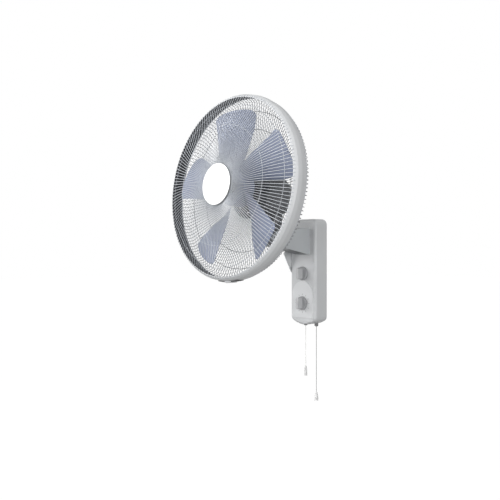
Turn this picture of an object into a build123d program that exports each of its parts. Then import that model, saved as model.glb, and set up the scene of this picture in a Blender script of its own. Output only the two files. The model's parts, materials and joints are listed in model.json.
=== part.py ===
from build123d import *
from math import cos, radians, sin
import os

os.makedirs("parts", exist_ok=True)

# Wall mounted fan, in millimetres. The wall is the plane Y = 0, the fan blows towards -Y, +Z is up,
# and the origin is the middle of the wall plate's four screw holes.
# In the head, heights run along the fan axis from the hoop's front rim: ahead of it is positive.

# --- Fits and gaps -------------------------------------------------------------------------------
RUNNING_FIT = 0.05      # radial clearance of a shaft that turns or slides in its hole
MOVING_GAP = 0.4        # gap between the flat faces of pieces that move past each other
SCREW_PLAY = 0.2        # radial clearance of a screw or a bush in a plain hole
SEAT_GAP = 0.3          # gap under a piece that is clipped on
HEX_SIDES = 6           # sides of a bolt's or a screw's head

# --- Wall box ------------------------------------------------------------------------------------
BOX_WIDTH = 90.0
BOX_TOP = 139.0         # height of the top above the origin
BOX_SIDE_FOOT = -127.6  # height at which the arched bottom meets the sides
BOX_FOOT = -141.0       # lowest point of the arched bottom
BOX_DEPTH = 52.5
BOX_WALL = 2.6
BOX_CORNER = 14.0       # corner radius seen from the front
BOX_FRONT_ROUND = 8.0   # rounding along the front edge
BOX_REAR_ROUND = 12.0   # rounding along the edge at the wall
REAR_DEPTH = 14.0       # depth of the rear housing, up to the parting line

PLATE_WIDTH = 60.0
PLATE_HEIGHT = 204.0
PLATE_THICKNESS = 2.0
PLATE_CORNER = 6.0
WALL_HOLE_RADIUS = 2.75
WALL_HOLE_SPACING_X = 44.0
WALL_HOLE_SPACING_Z = 180.0
SCREW_ROOM_RADIUS = 6.0     # hole in the rear housing over each wall screw
PLATE_SCREW_RADIUS = 2.0
PLATE_SCREW_Z = 60.0        # height of the two screws that hold the housing to its plate

# --- Left web and arm ----------------------------------------------------------------------------
WEB_FOOT_Z = 0.0
WEB_NOSE_Z = 48.0
WEB_HEAD_Z = 76.0
WEB_REACH = 27.5        # how far the web stands out of the front face

ARM_WIDTH = 49.0
ARM_ROOT_BOTTOM = 45.0
ARM_ROOT_TOP = 114.4
ARM_WALL = 3.0
ARM_ROOT_WALL = 8.0
ARM_COVER_THICKNESS = 2.5
ARM_SCREW_RADIUS = 2.0
ARM_SCREW_X = 16.0
ARM_SCREW_HEIGHTS = (56.0, 103.0)
CABLE_HOLE_RADIUS = 7.0

HINGE_Y = -165.0        # tilt hinge
HINGE_Z = 87.0
HINGE_RADIUS = 20.0     # rounded nose of the arm about the hinge
HINGE_BOLT_RADIUS = 4.0
HINGE_HEAD_RADIUS = 7.5
HINGE_HEAD_DEPTH = 5.0
HINGE_WASHER_RADIUS = 11.0
FORK_GAP = 30.0
FORK_DEPTH = 37.0       # how far the fork's slot runs back from the hinge
FORK_WEB = 4.0          # wall between the slot and the arm's hollow
TONGUE_WIDTH = 26.0
TONGUE_RADIUS = 17.0

# --- Controls ------------------------------------------------------------------------------------
PANEL_HALF_WIDTH = 37.0
PANEL_BOTTOM = -122.0
PANEL_SHOULDER = -62.0  # height at which the panel's sides turn into its arch
PANEL_THICKNESS = 1.5
SPEED_KNOB_Z = -84.0
SWING_KNOB_Z = -5.0
KNOB_RADIUS = 18.0
KNOB_BASE_DEPTH = 5.0
KNOB_BAR_WIDTH = 9.0
KNOB_BAR_DEPTH = 17.0
KNOB_EDGE = 1.5
KNOB_GAP = 0.6
SPINDLE_RADIUS = 3.0
SPINDLE_DEPTH = 14.0    # how far the spindle reaches into its switch
SPINDLE_SEAT = 8.0      # depth of the knob's blind bore
BUSH_RADIUS = 4.5
SWITCH_SIZE = 30.0
SWITCH_DEPTH = 16.0

CAPACITOR_WIDTH = 37.0
CAPACITOR_HEIGHT = 25.0
CAPACITOR_DEPTH = 14.0
CAPACITOR_Z = 24.0

CORD_X = 19.4           # a pull cord leaves the box on each side
CORD_Y = -20.0
CORD_RADIUS = 0.8
GLAND_RADIUS = 5.0
GLAND_FOOT = -146.0
GLAND_BORE = 1.6
GLAND_CHAMFER = 1.2
PULL_SWITCH_WIDTH = 16.0
PULL_SWITCH_DEPTH = 22.0
PULL_SWITCH_HEIGHT = 28.0
PULL_SWITCH_FOOT = -127.0
SLIDER_RADIUS = 3.0
SLIDER_LENGTH = 10.0
PULL_TRAVEL = 12.0
LEFT_CORD_LENGTH = 110.0    # from the gland to the pull
RIGHT_CORD_LENGTH = 176.0
LEFT_PULL_LENGTH = 26.0
LEFT_PULL_RADIUS = 4.0
RIGHT_PULL_LENGTH = 22.0
RIGHT_PULL_RADIUS = 5.0
PULL_TOP_RADIUS = 2.2
PULL_FOOT = 6.0         # height of a pull's straight foot

# --- Fan head ------------------------------------------------------------------------------------
HEAD_TILT = 6.1         # degrees that the fan looks up in its rest pose
AXIS_HEIGHT = 106.7     # fan axis above the tilt hinge, square to the fan axis
RIM_AHEAD = 165.0       # front rim of the hoop ahead of the swing axis, along the fan axis

BLADE_TIP_RADIUS = 195.0
HOOP_CLEARANCE = 31.0   # from the blade tips to the inside of the hoop
HOOP_WALL = 2.5
HOOP_WIDTH = 36.0
HOOP_MIDDLE = 20.0      # widest place of the hoop's crowned outside, behind the rim
HOOP_SHOULDER = 8.0
HOOP_SHOULDER_DROP = 1.5    # drops are measured inwards from the widest place
HOOP_BROW_DROP = 4.0
HOOP_CREST_DROP = 7.5
HOOP_LIP_DROP = 10.5
HOOP_REAR_DROP = 2.5
HOOP_LIP = 3.0          # thickness of the lip that the front guard sits behind

WIRE_COUNT = 78         # radial wires of each guard
WIRE_SIDES = 3
WIRE_RADIUS = 1.15      # circle round a wire's three-sided section
RING_SIDES = 39         # a ring has two wires to each side
RING_TURN = 90 / RING_SIDES     # brings a ring's corners midway between two wires
RING_SECTION = 2.2      # height and width of the cross rings behind the wires
RING_SEAT = 0.6         # depth of a cross ring below the bend that it lies behind
FRONT_RIM_RING_WIDTH = 5.0
FRONT_RIM_RING_HEIGHT = 4.0
REAR_RIM_RING_WIDTH = 5.0
REAR_RIM_RING_HEIGHT = 4.0

RIM_RING_OVERLAP = 2.0  # how far the wires' ends run into the rim rings and the rear plate
FRONT_WIRE_FOOT = -6.2
FRONT_KNEE_INSET = 23.0     # from the front rim ring's outside in to the wires' knee
FRONT_KNEE = 8.5
FRONT_BEND_RADIUS = 146.0
FRONT_BEND = 25.0
FRONT_TOP = 31.4
CENTRE_RING_RADIUS = 50.0
CENTRE_RING_WIDTH = 7.0
CENTRE_RING_HEIGHT = 3.2
BADGE_RADIUS = 50.7
BADGE_HEIGHT = 3.6
BADGE_CHAMFER = 1.2
BADGE_PLATE_HEIGHT = 2.0
BADGE_PLAY = 1.0        # radial clearance of the badge's spigot in the centre ring

REAR_SHOULDER_INSET = 9.0   # from the rear rim ring's outside in to the wires' shoulder
REAR_SHOULDER = -52.0
REAR_RING_INSET = 22.0      # from the shoulder in to the outer cross ring
REAR_BEND_RADIUS = 153.0
REAR_BEND = -64.0
REAR_PLATE_RADIUS = 68.0
REAR_PLATE_HEIGHT = 3.0
REAR_PLATE_WINDOWS = 8
WINDOW_LENGTH = 16.0
WINDOW_WIDTH = 13.0
WINDOW_RADIUS = 46.0

LATCH_ANGLE = 273.3     # round the hoop, seen from the front, from +X
LATCH_SPAN = 5.6        # degrees
LATCH_PAD_SPAN = 6.0
LATCH_FRONT = -14.0
LATCH_REAR = -34.0
LATCH_HEIGHT = 3.2
LATCH_PAD_HEIGHT = 1.6

BLADE_COUNT = 5
BLADE_TIP_ANGLE = 24.6  # direction of the first blade's tip, seen from the front, from +X
BLADE_MIDDLE = -28.0
BLADE_THICKNESS = 2.2
BLADE_CAMBER = 0.06     # rise of a section's arc as a share of its width
BLADE_TIP_CORNER = 18.0
BLADE_TRIM = 4.0        # how far the plate runs past the tip before it is trimmed
BLADE_RUN_IN = 2.0      # how far it runs past the hub's wall before the hub is hollowed
HUB_RADIUS = 44.0
HUB_FRONT = -14.0
HUB_REAR = -50.0
HUB_WALL = 4.0
HUB_BOSS_RADIUS = 10.0
BLADE_NUT_RADIUS = 14.0
BLADE_NUT_FRONT = -5.5
BLADE_NUT_NOSE = 8.0    # radius of the nut's flat front

SHAFT_RADIUS = 4.0
SHAFT_FRONT = -9.0
SHAFT_REAR = -150.0

MOTOR_RADIUS = 52.0
MOTOR_WALL = 2.5
MOTOR_FRONT = -78.0
MOTOR_SPLIT = -120.0
MOTOR_SHOULDER = -165.0
MOTOR_REAR = -196.0
MOTOR_TAIL_RADIUS = 38.0
MOTOR_VENTS = 12
VENT_WIDTH = 3.5
VENT_LENGTH = 18.0
FRONT_VENT_RADIUS = 36.0
REAR_VENT_RADIUS = 22.0
NOSE_RADIUS = 15.5      # threaded nose that carries the rear guard
NOSE_FRONT = -66.0
GUARD_NUT_RADIUS = 31.0
GUARD_NUT_HEIGHT = 7.0
STATOR_SIZE = 66.0
STATOR_BORE_RADIUS = 24.0
STATOR_FRONT = -98.0
STATOR_REAR = -128.0
COIL_REACH = 8.0        # how far the windings stand out of the stack
COIL_RADIUS = 27.0
COIL_SIDES = 12
ROTOR_GAP = 0.5
BRACKET_FRONT = -85.0
BRACKET_REAR = -142.0
BRACKET_HEIGHT = 4.0
BEARING_RADIUS = 9.0
BEARING_LENGTH = 12.0
MOTOR_BOLT_RADIUS = 2.0
MOTOR_BOLT_SPACING = 58.0

BOSS_RADIUS = 21.0      # boss under the motor that turns on the neck
BOSS_FOOT = -60.0       # measured from the fan axis
BOSS_TOP = -40.0
SWING_PIN_RADIUS = 7.0
SWING_COLLAR_RADIUS = 11.0
SWING_COLLAR_HEIGHT = 3.0
NECK_FLANGE_RADIUS = 21.0
NECK_FLANGE_HEIGHT = 8.0
SWING_MOTOR_RADIUS = 18.8
SWING_MOTOR_HEIGHT = 14.0

# --- Directions and planes of the tilted head ----------------------------------------------------
FORWARD = Vector(0, -cos(radians(HEAD_TILT)), sin(radians(HEAD_TILT)))
UPWARD = Vector(0, sin(radians(HEAD_TILT)), cos(radians(HEAD_TILT)))
HINGE = Vector(0, HINGE_Y, HINGE_Z)
RIM_CENTRE = HINGE + UPWARD * AXIS_HEIGHT + FORWARD * RIM_AHEAD

FAN = Plane(origin=RIM_CENTRE, x_dir=(1, 0, 0), z_dir=FORWARD)
HALF_SECTION = Plane(origin=RIM_CENTRE, x_dir=(1, 0, 0), z_dir=UPWARD * -1)
NECK = Plane(origin=HINGE, x_dir=(1, 0, 0), z_dir=UPWARD)
NECK_SIDE = Plane(origin=HINGE, x_dir=FORWARD, z_dir=FORWARD.cross(UPWARD))
FAN_AXIS = Axis(RIM_CENTRE, FORWARD)


def finish(piece, name):
    """Label a finished sub-part and write its STEP file."""
    piece.part.label = name
    export_step(piece.part, f"parts/{name}.step")


# ================================== Wall box =====================================================
def box_outline(inset):
    """Front outline of the wall box: straight sides, rounded corners and an arched bottom."""
    half = BOX_WIDTH / 2
    with BuildSketch() as outline:
        with BuildLine():
            Polyline((-half, BOX_SIDE_FOOT), (-half, BOX_TOP), (half, BOX_TOP), (half, BOX_SIDE_FOOT))
            ThreePointArc((half, BOX_SIDE_FOOT), (0, BOX_FOOT), (-half, BOX_SIDE_FOOT))
        make_face()
        fillet(outline.vertices(), BOX_CORNER)
        if inset:
            offset(amount=-inset, mode=Mode.REPLACE)
    return outline.sketch


def box_body():
    """Whole rounded body of the wall box."""
    with BuildPart() as body:
        with BuildSketch(Plane.XZ):
            add(box_outline(0))
        extrude(amount=BOX_DEPTH)
        fillet(body.edges().group_by(Axis.Y)[0], BOX_FRONT_ROUND)
        fillet(body.edges().group_by(Axis.Y)[-1], BOX_REAR_ROUND)
    return body.part


def box_hollow():
    """Room inside the wall box, with flat bevels behind its rounded edges."""
    with BuildPart() as hollow:
        with BuildSketch(Plane.XZ.offset(BOX_WALL)):
            add(box_outline(BOX_WALL))
        extrude(amount=BOX_DEPTH - 2 * BOX_WALL)
        chamfer(hollow.edges().group_by(Axis.Y)[0], BOX_FRONT_ROUND / 2)
        chamfer(hollow.edges().group_by(Axis.Y)[-1], BOX_REAR_ROUND / 2)
    return hollow.part


def screws(places, seat, length, shank_radius, into):
    """Screws along Y with their heads on the plane Y = seat; into is the way their shanks run."""
    with BuildPart() as set_of_screws:
        with BuildSketch(Plane.XZ.offset(-seat)):
            with Locations(*places):
                RegularPolygon(2 * shank_radius, HEX_SIDES)
        extrude(amount=shank_radius * into)
        with BuildSketch(Plane.XZ.offset(-seat)):
            with Locations(*places):
                Circle(shank_radius)
        extrude(amount=-length * into)
    return set_of_screws


wall_holes = [
    (x, z)
    for x in (-WALL_HOLE_SPACING_X / 2, WALL_HOLE_SPACING_X / 2)
    for z in (-WALL_HOLE_SPACING_Z / 2, WALL_HOLE_SPACING_Z / 2)
]
plate_screw_places = [(0, PLATE_SCREW_Z), (0, -PLATE_SCREW_Z)]
FLOOR_BACK = PLATE_THICKNESS + SEAT_GAP
FLOOR_FRONT = FLOOR_BACK + BOX_WALL

with BuildPart() as wall_plate:
    with BuildSketch(Plane.XZ):
        RectangleRounded(PLATE_WIDTH, PLATE_HEIGHT, PLATE_CORNER)
        with Locations(*wall_holes):
            Circle(WALL_HOLE_RADIUS, mode=Mode.SUBTRACT)
        with Locations(*plate_screw_places):
            Circle(PLATE_SCREW_RADIUS, mode=Mode.SUBTRACT)
    extrude(amount=PLATE_THICKNESS)
finish(wall_plate, "wall_plate")

with BuildPart() as rear_housing:
    add(box_body())
    add(box_hollow(), mode=Mode.SUBTRACT)
    split(bisect_by=Plane.XZ.offset(REAR_DEPTH), keep=Keep.BOTTOM)
    recess_width = PLATE_WIDTH + 2 * SEAT_GAP
    recess_height = PLATE_HEIGHT + 2 * SEAT_GAP
    with BuildSketch(Plane.XZ.offset(BOX_WALL / 2)):
        Rectangle(recess_width + 2 * BOX_WALL, recess_height + 2 * BOX_WALL)
    extrude(amount=FLOOR_FRONT - BOX_WALL / 2)
    with BuildSketch(Plane.XZ):
        RectangleRounded(recess_width, recess_height, PLATE_CORNER)
    extrude(amount=FLOOR_BACK, mode=Mode.SUBTRACT)
    with BuildSketch(Plane.XZ):
        with Locations(*wall_holes):
            Circle(SCREW_ROOM_RADIUS)
        with Locations(*plate_screw_places):
            Circle(PLATE_SCREW_RADIUS + SCREW_PLAY)
    extrude(amount=FLOOR_FRONT, mode=Mode.SUBTRACT)
finish(rear_housing, "rear_housing")

finish(screws(plate_screw_places, -FLOOR_FRONT, FLOOR_FRONT, PLATE_SCREW_RADIUS, 1), "plate_screws")

arm_screw_places = [(x, z) for x in (-ARM_SCREW_X, ARM_SCREW_X) for z in ARM_SCREW_HEIGHTS]
cable_hole_z = (ARM_ROOT_BOTTOM + ARM_ROOT_TOP) / 2
FRONT_INNER = BOX_DEPTH - BOX_WALL

with BuildPart() as front_housing:
    add(box_body())
    with BuildSketch(Plane.YZ.offset(-BOX_WIDTH / 2)):
        with BuildLine():
            Polyline(
                (BOX_FRONT_ROUND - BOX_DEPTH, WEB_FOOT_Z - BOX_FRONT_ROUND),
                (-BOX_DEPTH, WEB_FOOT_Z),
                (-BOX_DEPTH - WEB_REACH, WEB_NOSE_Z),
                (-BOX_DEPTH, WEB_HEAD_Z),
                (BOX_FRONT_ROUND - BOX_DEPTH, WEB_HEAD_Z),
                close=True,
            )
        make_face()
    extrude(amount=BOX_WALL)
    add(box_hollow(), mode=Mode.SUBTRACT)
    split(bisect_by=Plane.XZ.offset(REAR_DEPTH), keep=Keep.TOP)
    with BuildSketch(Plane.XZ.offset(REAR_DEPTH)):
        with Locations((0, SPEED_KNOB_Z), (0, SWING_KNOB_Z)):
            Circle(BUSH_RADIUS + SCREW_PLAY)
        with Locations(*arm_screw_places):
            Circle(ARM_SCREW_RADIUS + SCREW_PLAY)
        with Locations((0, cable_hole_z)):
            Circle(CABLE_HOLE_RADIUS)
    extrude(amount=BOX_DEPTH, mode=Mode.SUBTRACT)
    with BuildSketch(Plane.XY.offset(BOX_FOOT)):
        with Locations((-CORD_X, CORD_Y), (CORD_X, CORD_Y)):
            Circle(GLAND_RADIUS + SCREW_PLAY)
    extrude(amount=PULL_SWITCH_FOOT - BOX_FOOT, mode=Mode.SUBTRACT)
finish(front_housing, "front_housing")

with BuildPart() as capacitor:
    with BuildSketch(Plane.XZ.offset(FLOOR_FRONT)):
        with Locations((0, CAPACITOR_Z)):
            Rectangle(CAPACITOR_WIDTH, CAPACITOR_HEIGHT)
    extrude(amount=CAPACITOR_DEPTH)
finish(capacitor, "capacitor")

# ================================== Arm and tilt hinge ===========================================
bottom_slope = (HINGE_Z - HINGE_RADIUS - ARM_ROOT_BOTTOM) / (HINGE_Y + BOX_DEPTH)
top_slope = (HINGE_Z + HINGE_RADIUS - ARM_ROOT_TOP) / (HINGE_Y + BOX_DEPTH)
hollow_rear = -BOX_DEPTH - ARM_ROOT_WALL
hollow_front = HINGE_Y + FORK_DEPTH + FORK_WEB


def arm_bottom(y):
    """Height of the arm's sloping underside at y."""
    return ARM_ROOT_BOTTOM + bottom_slope * (y + BOX_DEPTH)


def arm_top(y):
    """Height of the arm's top at y."""
    return ARM_ROOT_TOP + top_slope * (y + BOX_DEPTH)


with BuildPart() as arm_shell:
    with BuildSketch(Plane.YZ):
        with BuildLine():
            Polyline(
                (-BOX_DEPTH, ARM_ROOT_BOTTOM),
                (-BOX_DEPTH, ARM_ROOT_TOP),
                (HINGE_Y, HINGE_Z + HINGE_RADIUS),
                (HINGE_Y, HINGE_Z - HINGE_RADIUS),
                close=True,
            )
        make_face()
        with Locations((HINGE_Y, HINGE_Z)):
            Circle(HINGE_RADIUS)
    extrude(amount=ARM_WIDTH / 2, both=True)
    with BuildSketch(Plane.YZ):
        with BuildLine():
            Polyline(
                (hollow_rear, arm_bottom(hollow_rear) - ARM_WALL),
                (hollow_rear, arm_top(hollow_rear) - ARM_WALL),
                (hollow_front, arm_top(hollow_front) - ARM_WALL),
                (hollow_front, arm_bottom(hollow_front) - ARM_WALL),
                close=True,
            )
        make_face()
    extrude(amount=ARM_WIDTH / 2 - ARM_WALL, both=True, mode=Mode.SUBTRACT)
    with BuildSketch(Plane.YZ):
        with Locations((HINGE_Y + FORK_DEPTH, HINGE_Z)):
            Rectangle(FORK_DEPTH + 2 * HINGE_RADIUS, 4 * HINGE_RADIUS, align=(Align.MAX, Align.CENTER))
    extrude(amount=FORK_GAP / 2, both=True, mode=Mode.SUBTRACT)
    with BuildSketch(Plane.YZ):
        with Locations((HINGE_Y, HINGE_Z)):
            Circle(HINGE_BOLT_RADIUS)
    extrude(amount=ARM_WIDTH, both=True, mode=Mode.SUBTRACT)
    with BuildSketch(Plane.XZ.offset(BOX_DEPTH)):
        with Locations(*arm_screw_places):
            Circle(ARM_SCREW_RADIUS)
        with Locations((0, cable_hole_z)):
            Circle(CABLE_HOLE_RADIUS)
    extrude(amount=ARM_ROOT_WALL, mode=Mode.SUBTRACT)
finish(arm_shell, "arm_shell")

with BuildPart() as arm_cover:
    with BuildSketch(Plane.YZ):
        with BuildLine():
            Polyline(
                (hollow_rear, arm_bottom(hollow_rear)),
                (hollow_rear, arm_bottom(hollow_rear) + ARM_COVER_THICKNESS),
                (hollow_front, arm_bottom(hollow_front) + ARM_COVER_THICKNESS),
                (hollow_front, arm_bottom(hollow_front)),
                close=True,
            )
        make_face()
    extrude(amount=ARM_WIDTH / 2 - ARM_WALL, both=True)
finish(arm_cover, "arm_cover")

arm_screws = screws(arm_screw_places, -FRONT_INNER, BOX_WALL + ARM_ROOT_WALL, ARM_SCREW_RADIUS, -1)
finish(arm_screws, "arm_screws")

with BuildPart() as hinge_bolt:
    with BuildSketch(Plane.YZ.offset(-ARM_WIDTH / 2 - HINGE_HEAD_DEPTH)):
        with Locations((HINGE_Y, HINGE_Z)):
            RegularPolygon(HINGE_HEAD_RADIUS, HEX_SIDES)
    extrude(amount=HINGE_HEAD_DEPTH)
    with BuildSketch(Plane.YZ.offset(-ARM_WIDTH / 2)):
        with Locations((HINGE_Y, HINGE_Z)):
            Circle(HINGE_BOLT_RADIUS)
    extrude(amount=ARM_WIDTH + HINGE_HEAD_DEPTH)
finish(hinge_bolt, "hinge_bolt")

with BuildPart() as hinge_nut:
    with BuildSketch(Plane.YZ.offset(ARM_WIDTH / 2)):
        with Locations((HINGE_Y, HINGE_Z)):
            RegularPolygon(HINGE_HEAD_RADIUS, HEX_SIDES)
            Circle(HINGE_BOLT_RADIUS, mode=Mode.SUBTRACT)
    extrude(amount=HINGE_HEAD_DEPTH)
finish(hinge_nut, "hinge_nut")

washer_thickness = (FORK_GAP - TONGUE_WIDTH) / 2 - MOVING_GAP
with BuildPart() as hinge_washers:
    with BuildSketch(Plane.YZ.offset(FORK_GAP / 2), Plane.YZ.offset(-FORK_GAP / 2 + washer_thickness)):
        with Locations((HINGE_Y, HINGE_Z)):
            Circle(HINGE_WASHER_RADIUS)
            Circle(HINGE_BOLT_RADIUS, mode=Mode.SUBTRACT)
    extrude(amount=-washer_thickness)
finish(hinge_washers, "hinge_washers")

# ================================== Controls =====================================================
with BuildPart() as control_panel:
    with BuildSketch(Plane.XZ.offset(BOX_DEPTH)):
        with BuildLine():
            Polyline(
                (-PANEL_HALF_WIDTH, PANEL_SHOULDER),
                (-PANEL_HALF_WIDTH, PANEL_BOTTOM),
                (PANEL_HALF_WIDTH, PANEL_BOTTOM),
                (PANEL_HALF_WIDTH, PANEL_SHOULDER),
            )
            ThreePointArc(
                (PANEL_HALF_WIDTH, PANEL_SHOULDER),
                (0, PANEL_SHOULDER + PANEL_HALF_WIDTH),
                (-PANEL_HALF_WIDTH, PANEL_SHOULDER),
            )
        make_face()
        with Locations((0, SPEED_KNOB_Z)):
            Circle(BUSH_RADIUS + SCREW_PLAY, mode=Mode.SUBTRACT)
    extrude(amount=PANEL_THICKNESS)
finish(control_panel, "control_panel")


def rotary_switch(height, bush_front):
    """Switch body behind the front wall, with a bush that reaches to bush_front and carries the spindle."""
    with BuildPart() as switch:
        with BuildSketch(Plane.XZ.offset(FRONT_INNER - SWITCH_DEPTH)):
            with Locations((0, height)):
                Rectangle(SWITCH_SIZE, SWITCH_SIZE)
        extrude(amount=SWITCH_DEPTH)
        with BuildSketch(Plane.XZ.offset(FRONT_INNER)):
            with Locations((0, height)):
                Circle(BUSH_RADIUS)
        extrude(amount=bush_front - FRONT_INNER)
        with BuildSketch(Plane.XZ.offset(FRONT_INNER - SPINDLE_DEPTH)):
            with Locations((0, height)):
                Circle(SPINDLE_RADIUS + RUNNING_FIT)
        extrude(amount=bush_front - FRONT_INNER + SPINDLE_DEPTH, mode=Mode.SUBTRACT)
    return switch


def knob_spindle(height, knob_back):
    """Round spindle from its switch into the knob's blind bore."""
    foot = FRONT_INNER - SPINDLE_DEPTH + MOVING_GAP
    with BuildPart() as spindle:
        with BuildSketch(Plane.XZ.offset(foot)):
            with Locations((0, height)):
                Circle(SPINDLE_RADIUS)
        extrude(amount=knob_back + SPINDLE_SEAT - foot)
    return spindle


def bar_knob(height, knob_back):
    """Round knob with a grip bar across it, bored from behind for its spindle."""
    with BuildPart() as knob:
        with BuildSketch(Plane.XZ.offset(knob_back)):
            with Locations((0, height)):
                Circle(KNOB_RADIUS)
        extrude(amount=KNOB_BASE_DEPTH)
        chamfer(knob.edges().group_by(Axis.Y)[0], KNOB_EDGE)
        with BuildSketch(Plane.XZ.offset(knob_back + KNOB_BASE_DEPTH)):
            with Locations((0, height)):
                SlotOverall(2 * (KNOB_RADIUS - 2 * KNOB_EDGE), KNOB_BAR_WIDTH, rotation=90)
        extrude(amount=KNOB_BAR_DEPTH)
        chamfer(knob.edges().group_by(Axis.Y)[0], KNOB_EDGE)
        with BuildSketch(Plane.XZ.offset(knob_back)):
            with Locations((0, height)):
                Circle(SPINDLE_RADIUS)
        extrude(amount=SPINDLE_SEAT, mode=Mode.SUBTRACT)
    return knob


speed_knob_back = BOX_DEPTH + PANEL_THICKNESS + KNOB_GAP
swing_knob_back = BOX_DEPTH + KNOB_GAP
finish(rotary_switch(SPEED_KNOB_Z, BOX_DEPTH + PANEL_THICKNESS), "speed_switch")
finish(knob_spindle(SPEED_KNOB_Z, speed_knob_back), "speed_spindle")
finish(bar_knob(SPEED_KNOB_Z, speed_knob_back), "speed_knob")
finish(rotary_switch(SWING_KNOB_Z, BOX_DEPTH), "swing_switch")
finish(knob_spindle(SWING_KNOB_Z, swing_knob_back), "swing_spindle")
finish(bar_knob(SWING_KNOB_Z, swing_knob_back), "swing_knob")


def pull_cord_set(side, x, cord_length, pull_length, pull_radius):
    """Gland, pull switch, slider, hanging cord and pull of one cord; x is where it leaves the box."""
    pull_top = GLAND_FOOT - cord_length
    slider_foot = PULL_SWITCH_FOOT + PULL_TRAVEL + MOVING_GAP
    slider_top = slider_foot + SLIDER_LENGTH + MOVING_GAP
    with BuildPart() as gland:
        with BuildSketch(Plane.XY.offset(GLAND_FOOT)):
            with Locations((x, CORD_Y)):
                Circle(GLAND_RADIUS)
        extrude(amount=PULL_SWITCH_FOOT - GLAND_FOOT)
        chamfer(gland.edges().group_by(Axis.Z)[0], GLAND_CHAMFER)
        with BuildSketch(Plane.XY.offset(GLAND_FOOT)):
            with Locations((x, CORD_Y)):
                Circle(GLAND_BORE)
        extrude(amount=PULL_SWITCH_FOOT - GLAND_FOOT, mode=Mode.SUBTRACT)
    finish(gland, f"pull_gland_{side}")
    with BuildPart() as switch:
        with BuildSketch(Plane.XY.offset(PULL_SWITCH_FOOT)):
            with Locations((x, CORD_Y)):
                Rectangle(PULL_SWITCH_WIDTH, PULL_SWITCH_DEPTH)
        extrude(amount=PULL_SWITCH_HEIGHT)
        with BuildSketch(Plane.XY.offset(PULL_SWITCH_FOOT)):
            with Locations((x, CORD_Y)):
                Circle(SLIDER_RADIUS + RUNNING_FIT)
        extrude(amount=slider_top - PULL_SWITCH_FOOT, mode=Mode.SUBTRACT)
    finish(switch, f"pull_switch_{side}")
    with BuildPart() as slider:
        with BuildSketch(Plane.XY.offset(slider_foot)):
            with Locations((x, CORD_Y)):
                Circle(SLIDER_RADIUS)
        extrude(amount=SLIDER_LENGTH)
    finish(slider, f"pull_slider_{side}")
    with BuildPart() as cord:
        with BuildSketch(Plane.XY.offset(pull_top)):
            with Locations((x, CORD_Y)):
                Circle(CORD_RADIUS)
        extrude(amount=slider_foot - pull_top)
    finish(cord, f"pull_cord_{side}")
    with BuildPart() as pull:
        with BuildSketch(Plane(origin=(x, CORD_Y, pull_top), x_dir=(1, 0, 0), z_dir=(0, -1, 0))):
            with BuildLine():
                Polyline(
                    (PULL_TOP_RADIUS, 0),
                    (0, 0),
                    (0, -pull_length),
                    (pull_radius, -pull_length),
                    (pull_radius, PULL_FOOT - pull_length),
                )
                TangentArc((pull_radius, PULL_FOOT - pull_length), (PULL_TOP_RADIUS, 0), tangent=(0, 1))
            make_face()
        revolve(axis=Axis((x, CORD_Y, 0), (0, 0, 1)))
    finish(pull, f"pull_{side}")


pull_cord_set("left", -CORD_X, LEFT_CORD_LENGTH, LEFT_PULL_LENGTH, LEFT_PULL_RADIUS)
pull_cord_set("right", CORD_X, RIGHT_CORD_LENGTH, RIGHT_PULL_LENGTH, RIGHT_PULL_RADIUS)

# ================================== Neck =========================================================
neck_top = AXIS_HEIGHT + BOSS_FOOT - MOVING_GAP
pin_top = AXIS_HEIGHT + BOSS_TOP + MOVING_GAP + SWING_COLLAR_HEIGHT

with BuildPart() as neck:
    with BuildSketch(NECK_SIDE):
        Circle(TONGUE_RADIUS)
        Rectangle(2 * TONGUE_RADIUS, neck_top, align=(Align.CENTER, Align.MIN))
    extrude(amount=TONGUE_WIDTH / 2, both=True)
    with BuildSketch(NECK.offset(neck_top)):
        Circle(NECK_FLANGE_RADIUS)
    extrude(amount=-NECK_FLANGE_HEIGHT)
    with BuildSketch(NECK_SIDE):
        Circle(HINGE_BOLT_RADIUS + RUNNING_FIT)
    extrude(amount=TONGUE_WIDTH, both=True, mode=Mode.SUBTRACT)
finish(neck, "neck")

with BuildPart() as swing_pin:
    with BuildSketch(NECK.offset(neck_top)):
        Circle(SWING_PIN_RADIUS)
    extrude(amount=pin_top - neck_top)
finish(swing_pin, "swing_pin")

with BuildPart() as swing_collar:
    with BuildSketch(NECK.offset(pin_top)):
        Circle(SWING_COLLAR_RADIUS)
        Circle(SWING_PIN_RADIUS, mode=Mode.SUBTRACT)
    extrude(amount=-SWING_COLLAR_HEIGHT)
finish(swing_collar, "swing_collar")


# ================================== Guards =======================================================
def ring_face(outer, width):
    """Flat ring with polygon sides whose corners lie midway between two wires."""
    with BuildSketch() as ring:
        RegularPolygon(outer, RING_SIDES, rotation=RING_TURN)
        RegularPolygon(outer - width, RING_SIDES, rotation=RING_TURN, mode=Mode.SUBTRACT)
    return ring.sketch


def guard_wire(path):
    """One wire about the fan axis as local Z, bent along (radius, height) points."""
    with BuildPart() as wire:
        with BuildLine(Plane.XZ) as bends:
            Polyline(*path)
        with BuildSketch(Plane(origin=bends.line @ 0, x_dir=(0, 1, 0), z_dir=bends.line % 0)):
            RegularPolygon(WIRE_RADIUS, WIRE_SIDES)
        sweep(transition=Transition.RIGHT)
    return wire.part


def cross_rings(bends):
    """The rings that tie a guard's wires together, lying against their rear side at each bend."""
    with BuildPart() as rings:
        for radius, height in bends:
            with BuildSketch(FAN.offset(height - WIRE_RADIUS - RING_SEAT)):
                add(ring_face(radius + RING_SECTION / 2, RING_SECTION))
            extrude(amount=-RING_SECTION)
    return rings


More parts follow.
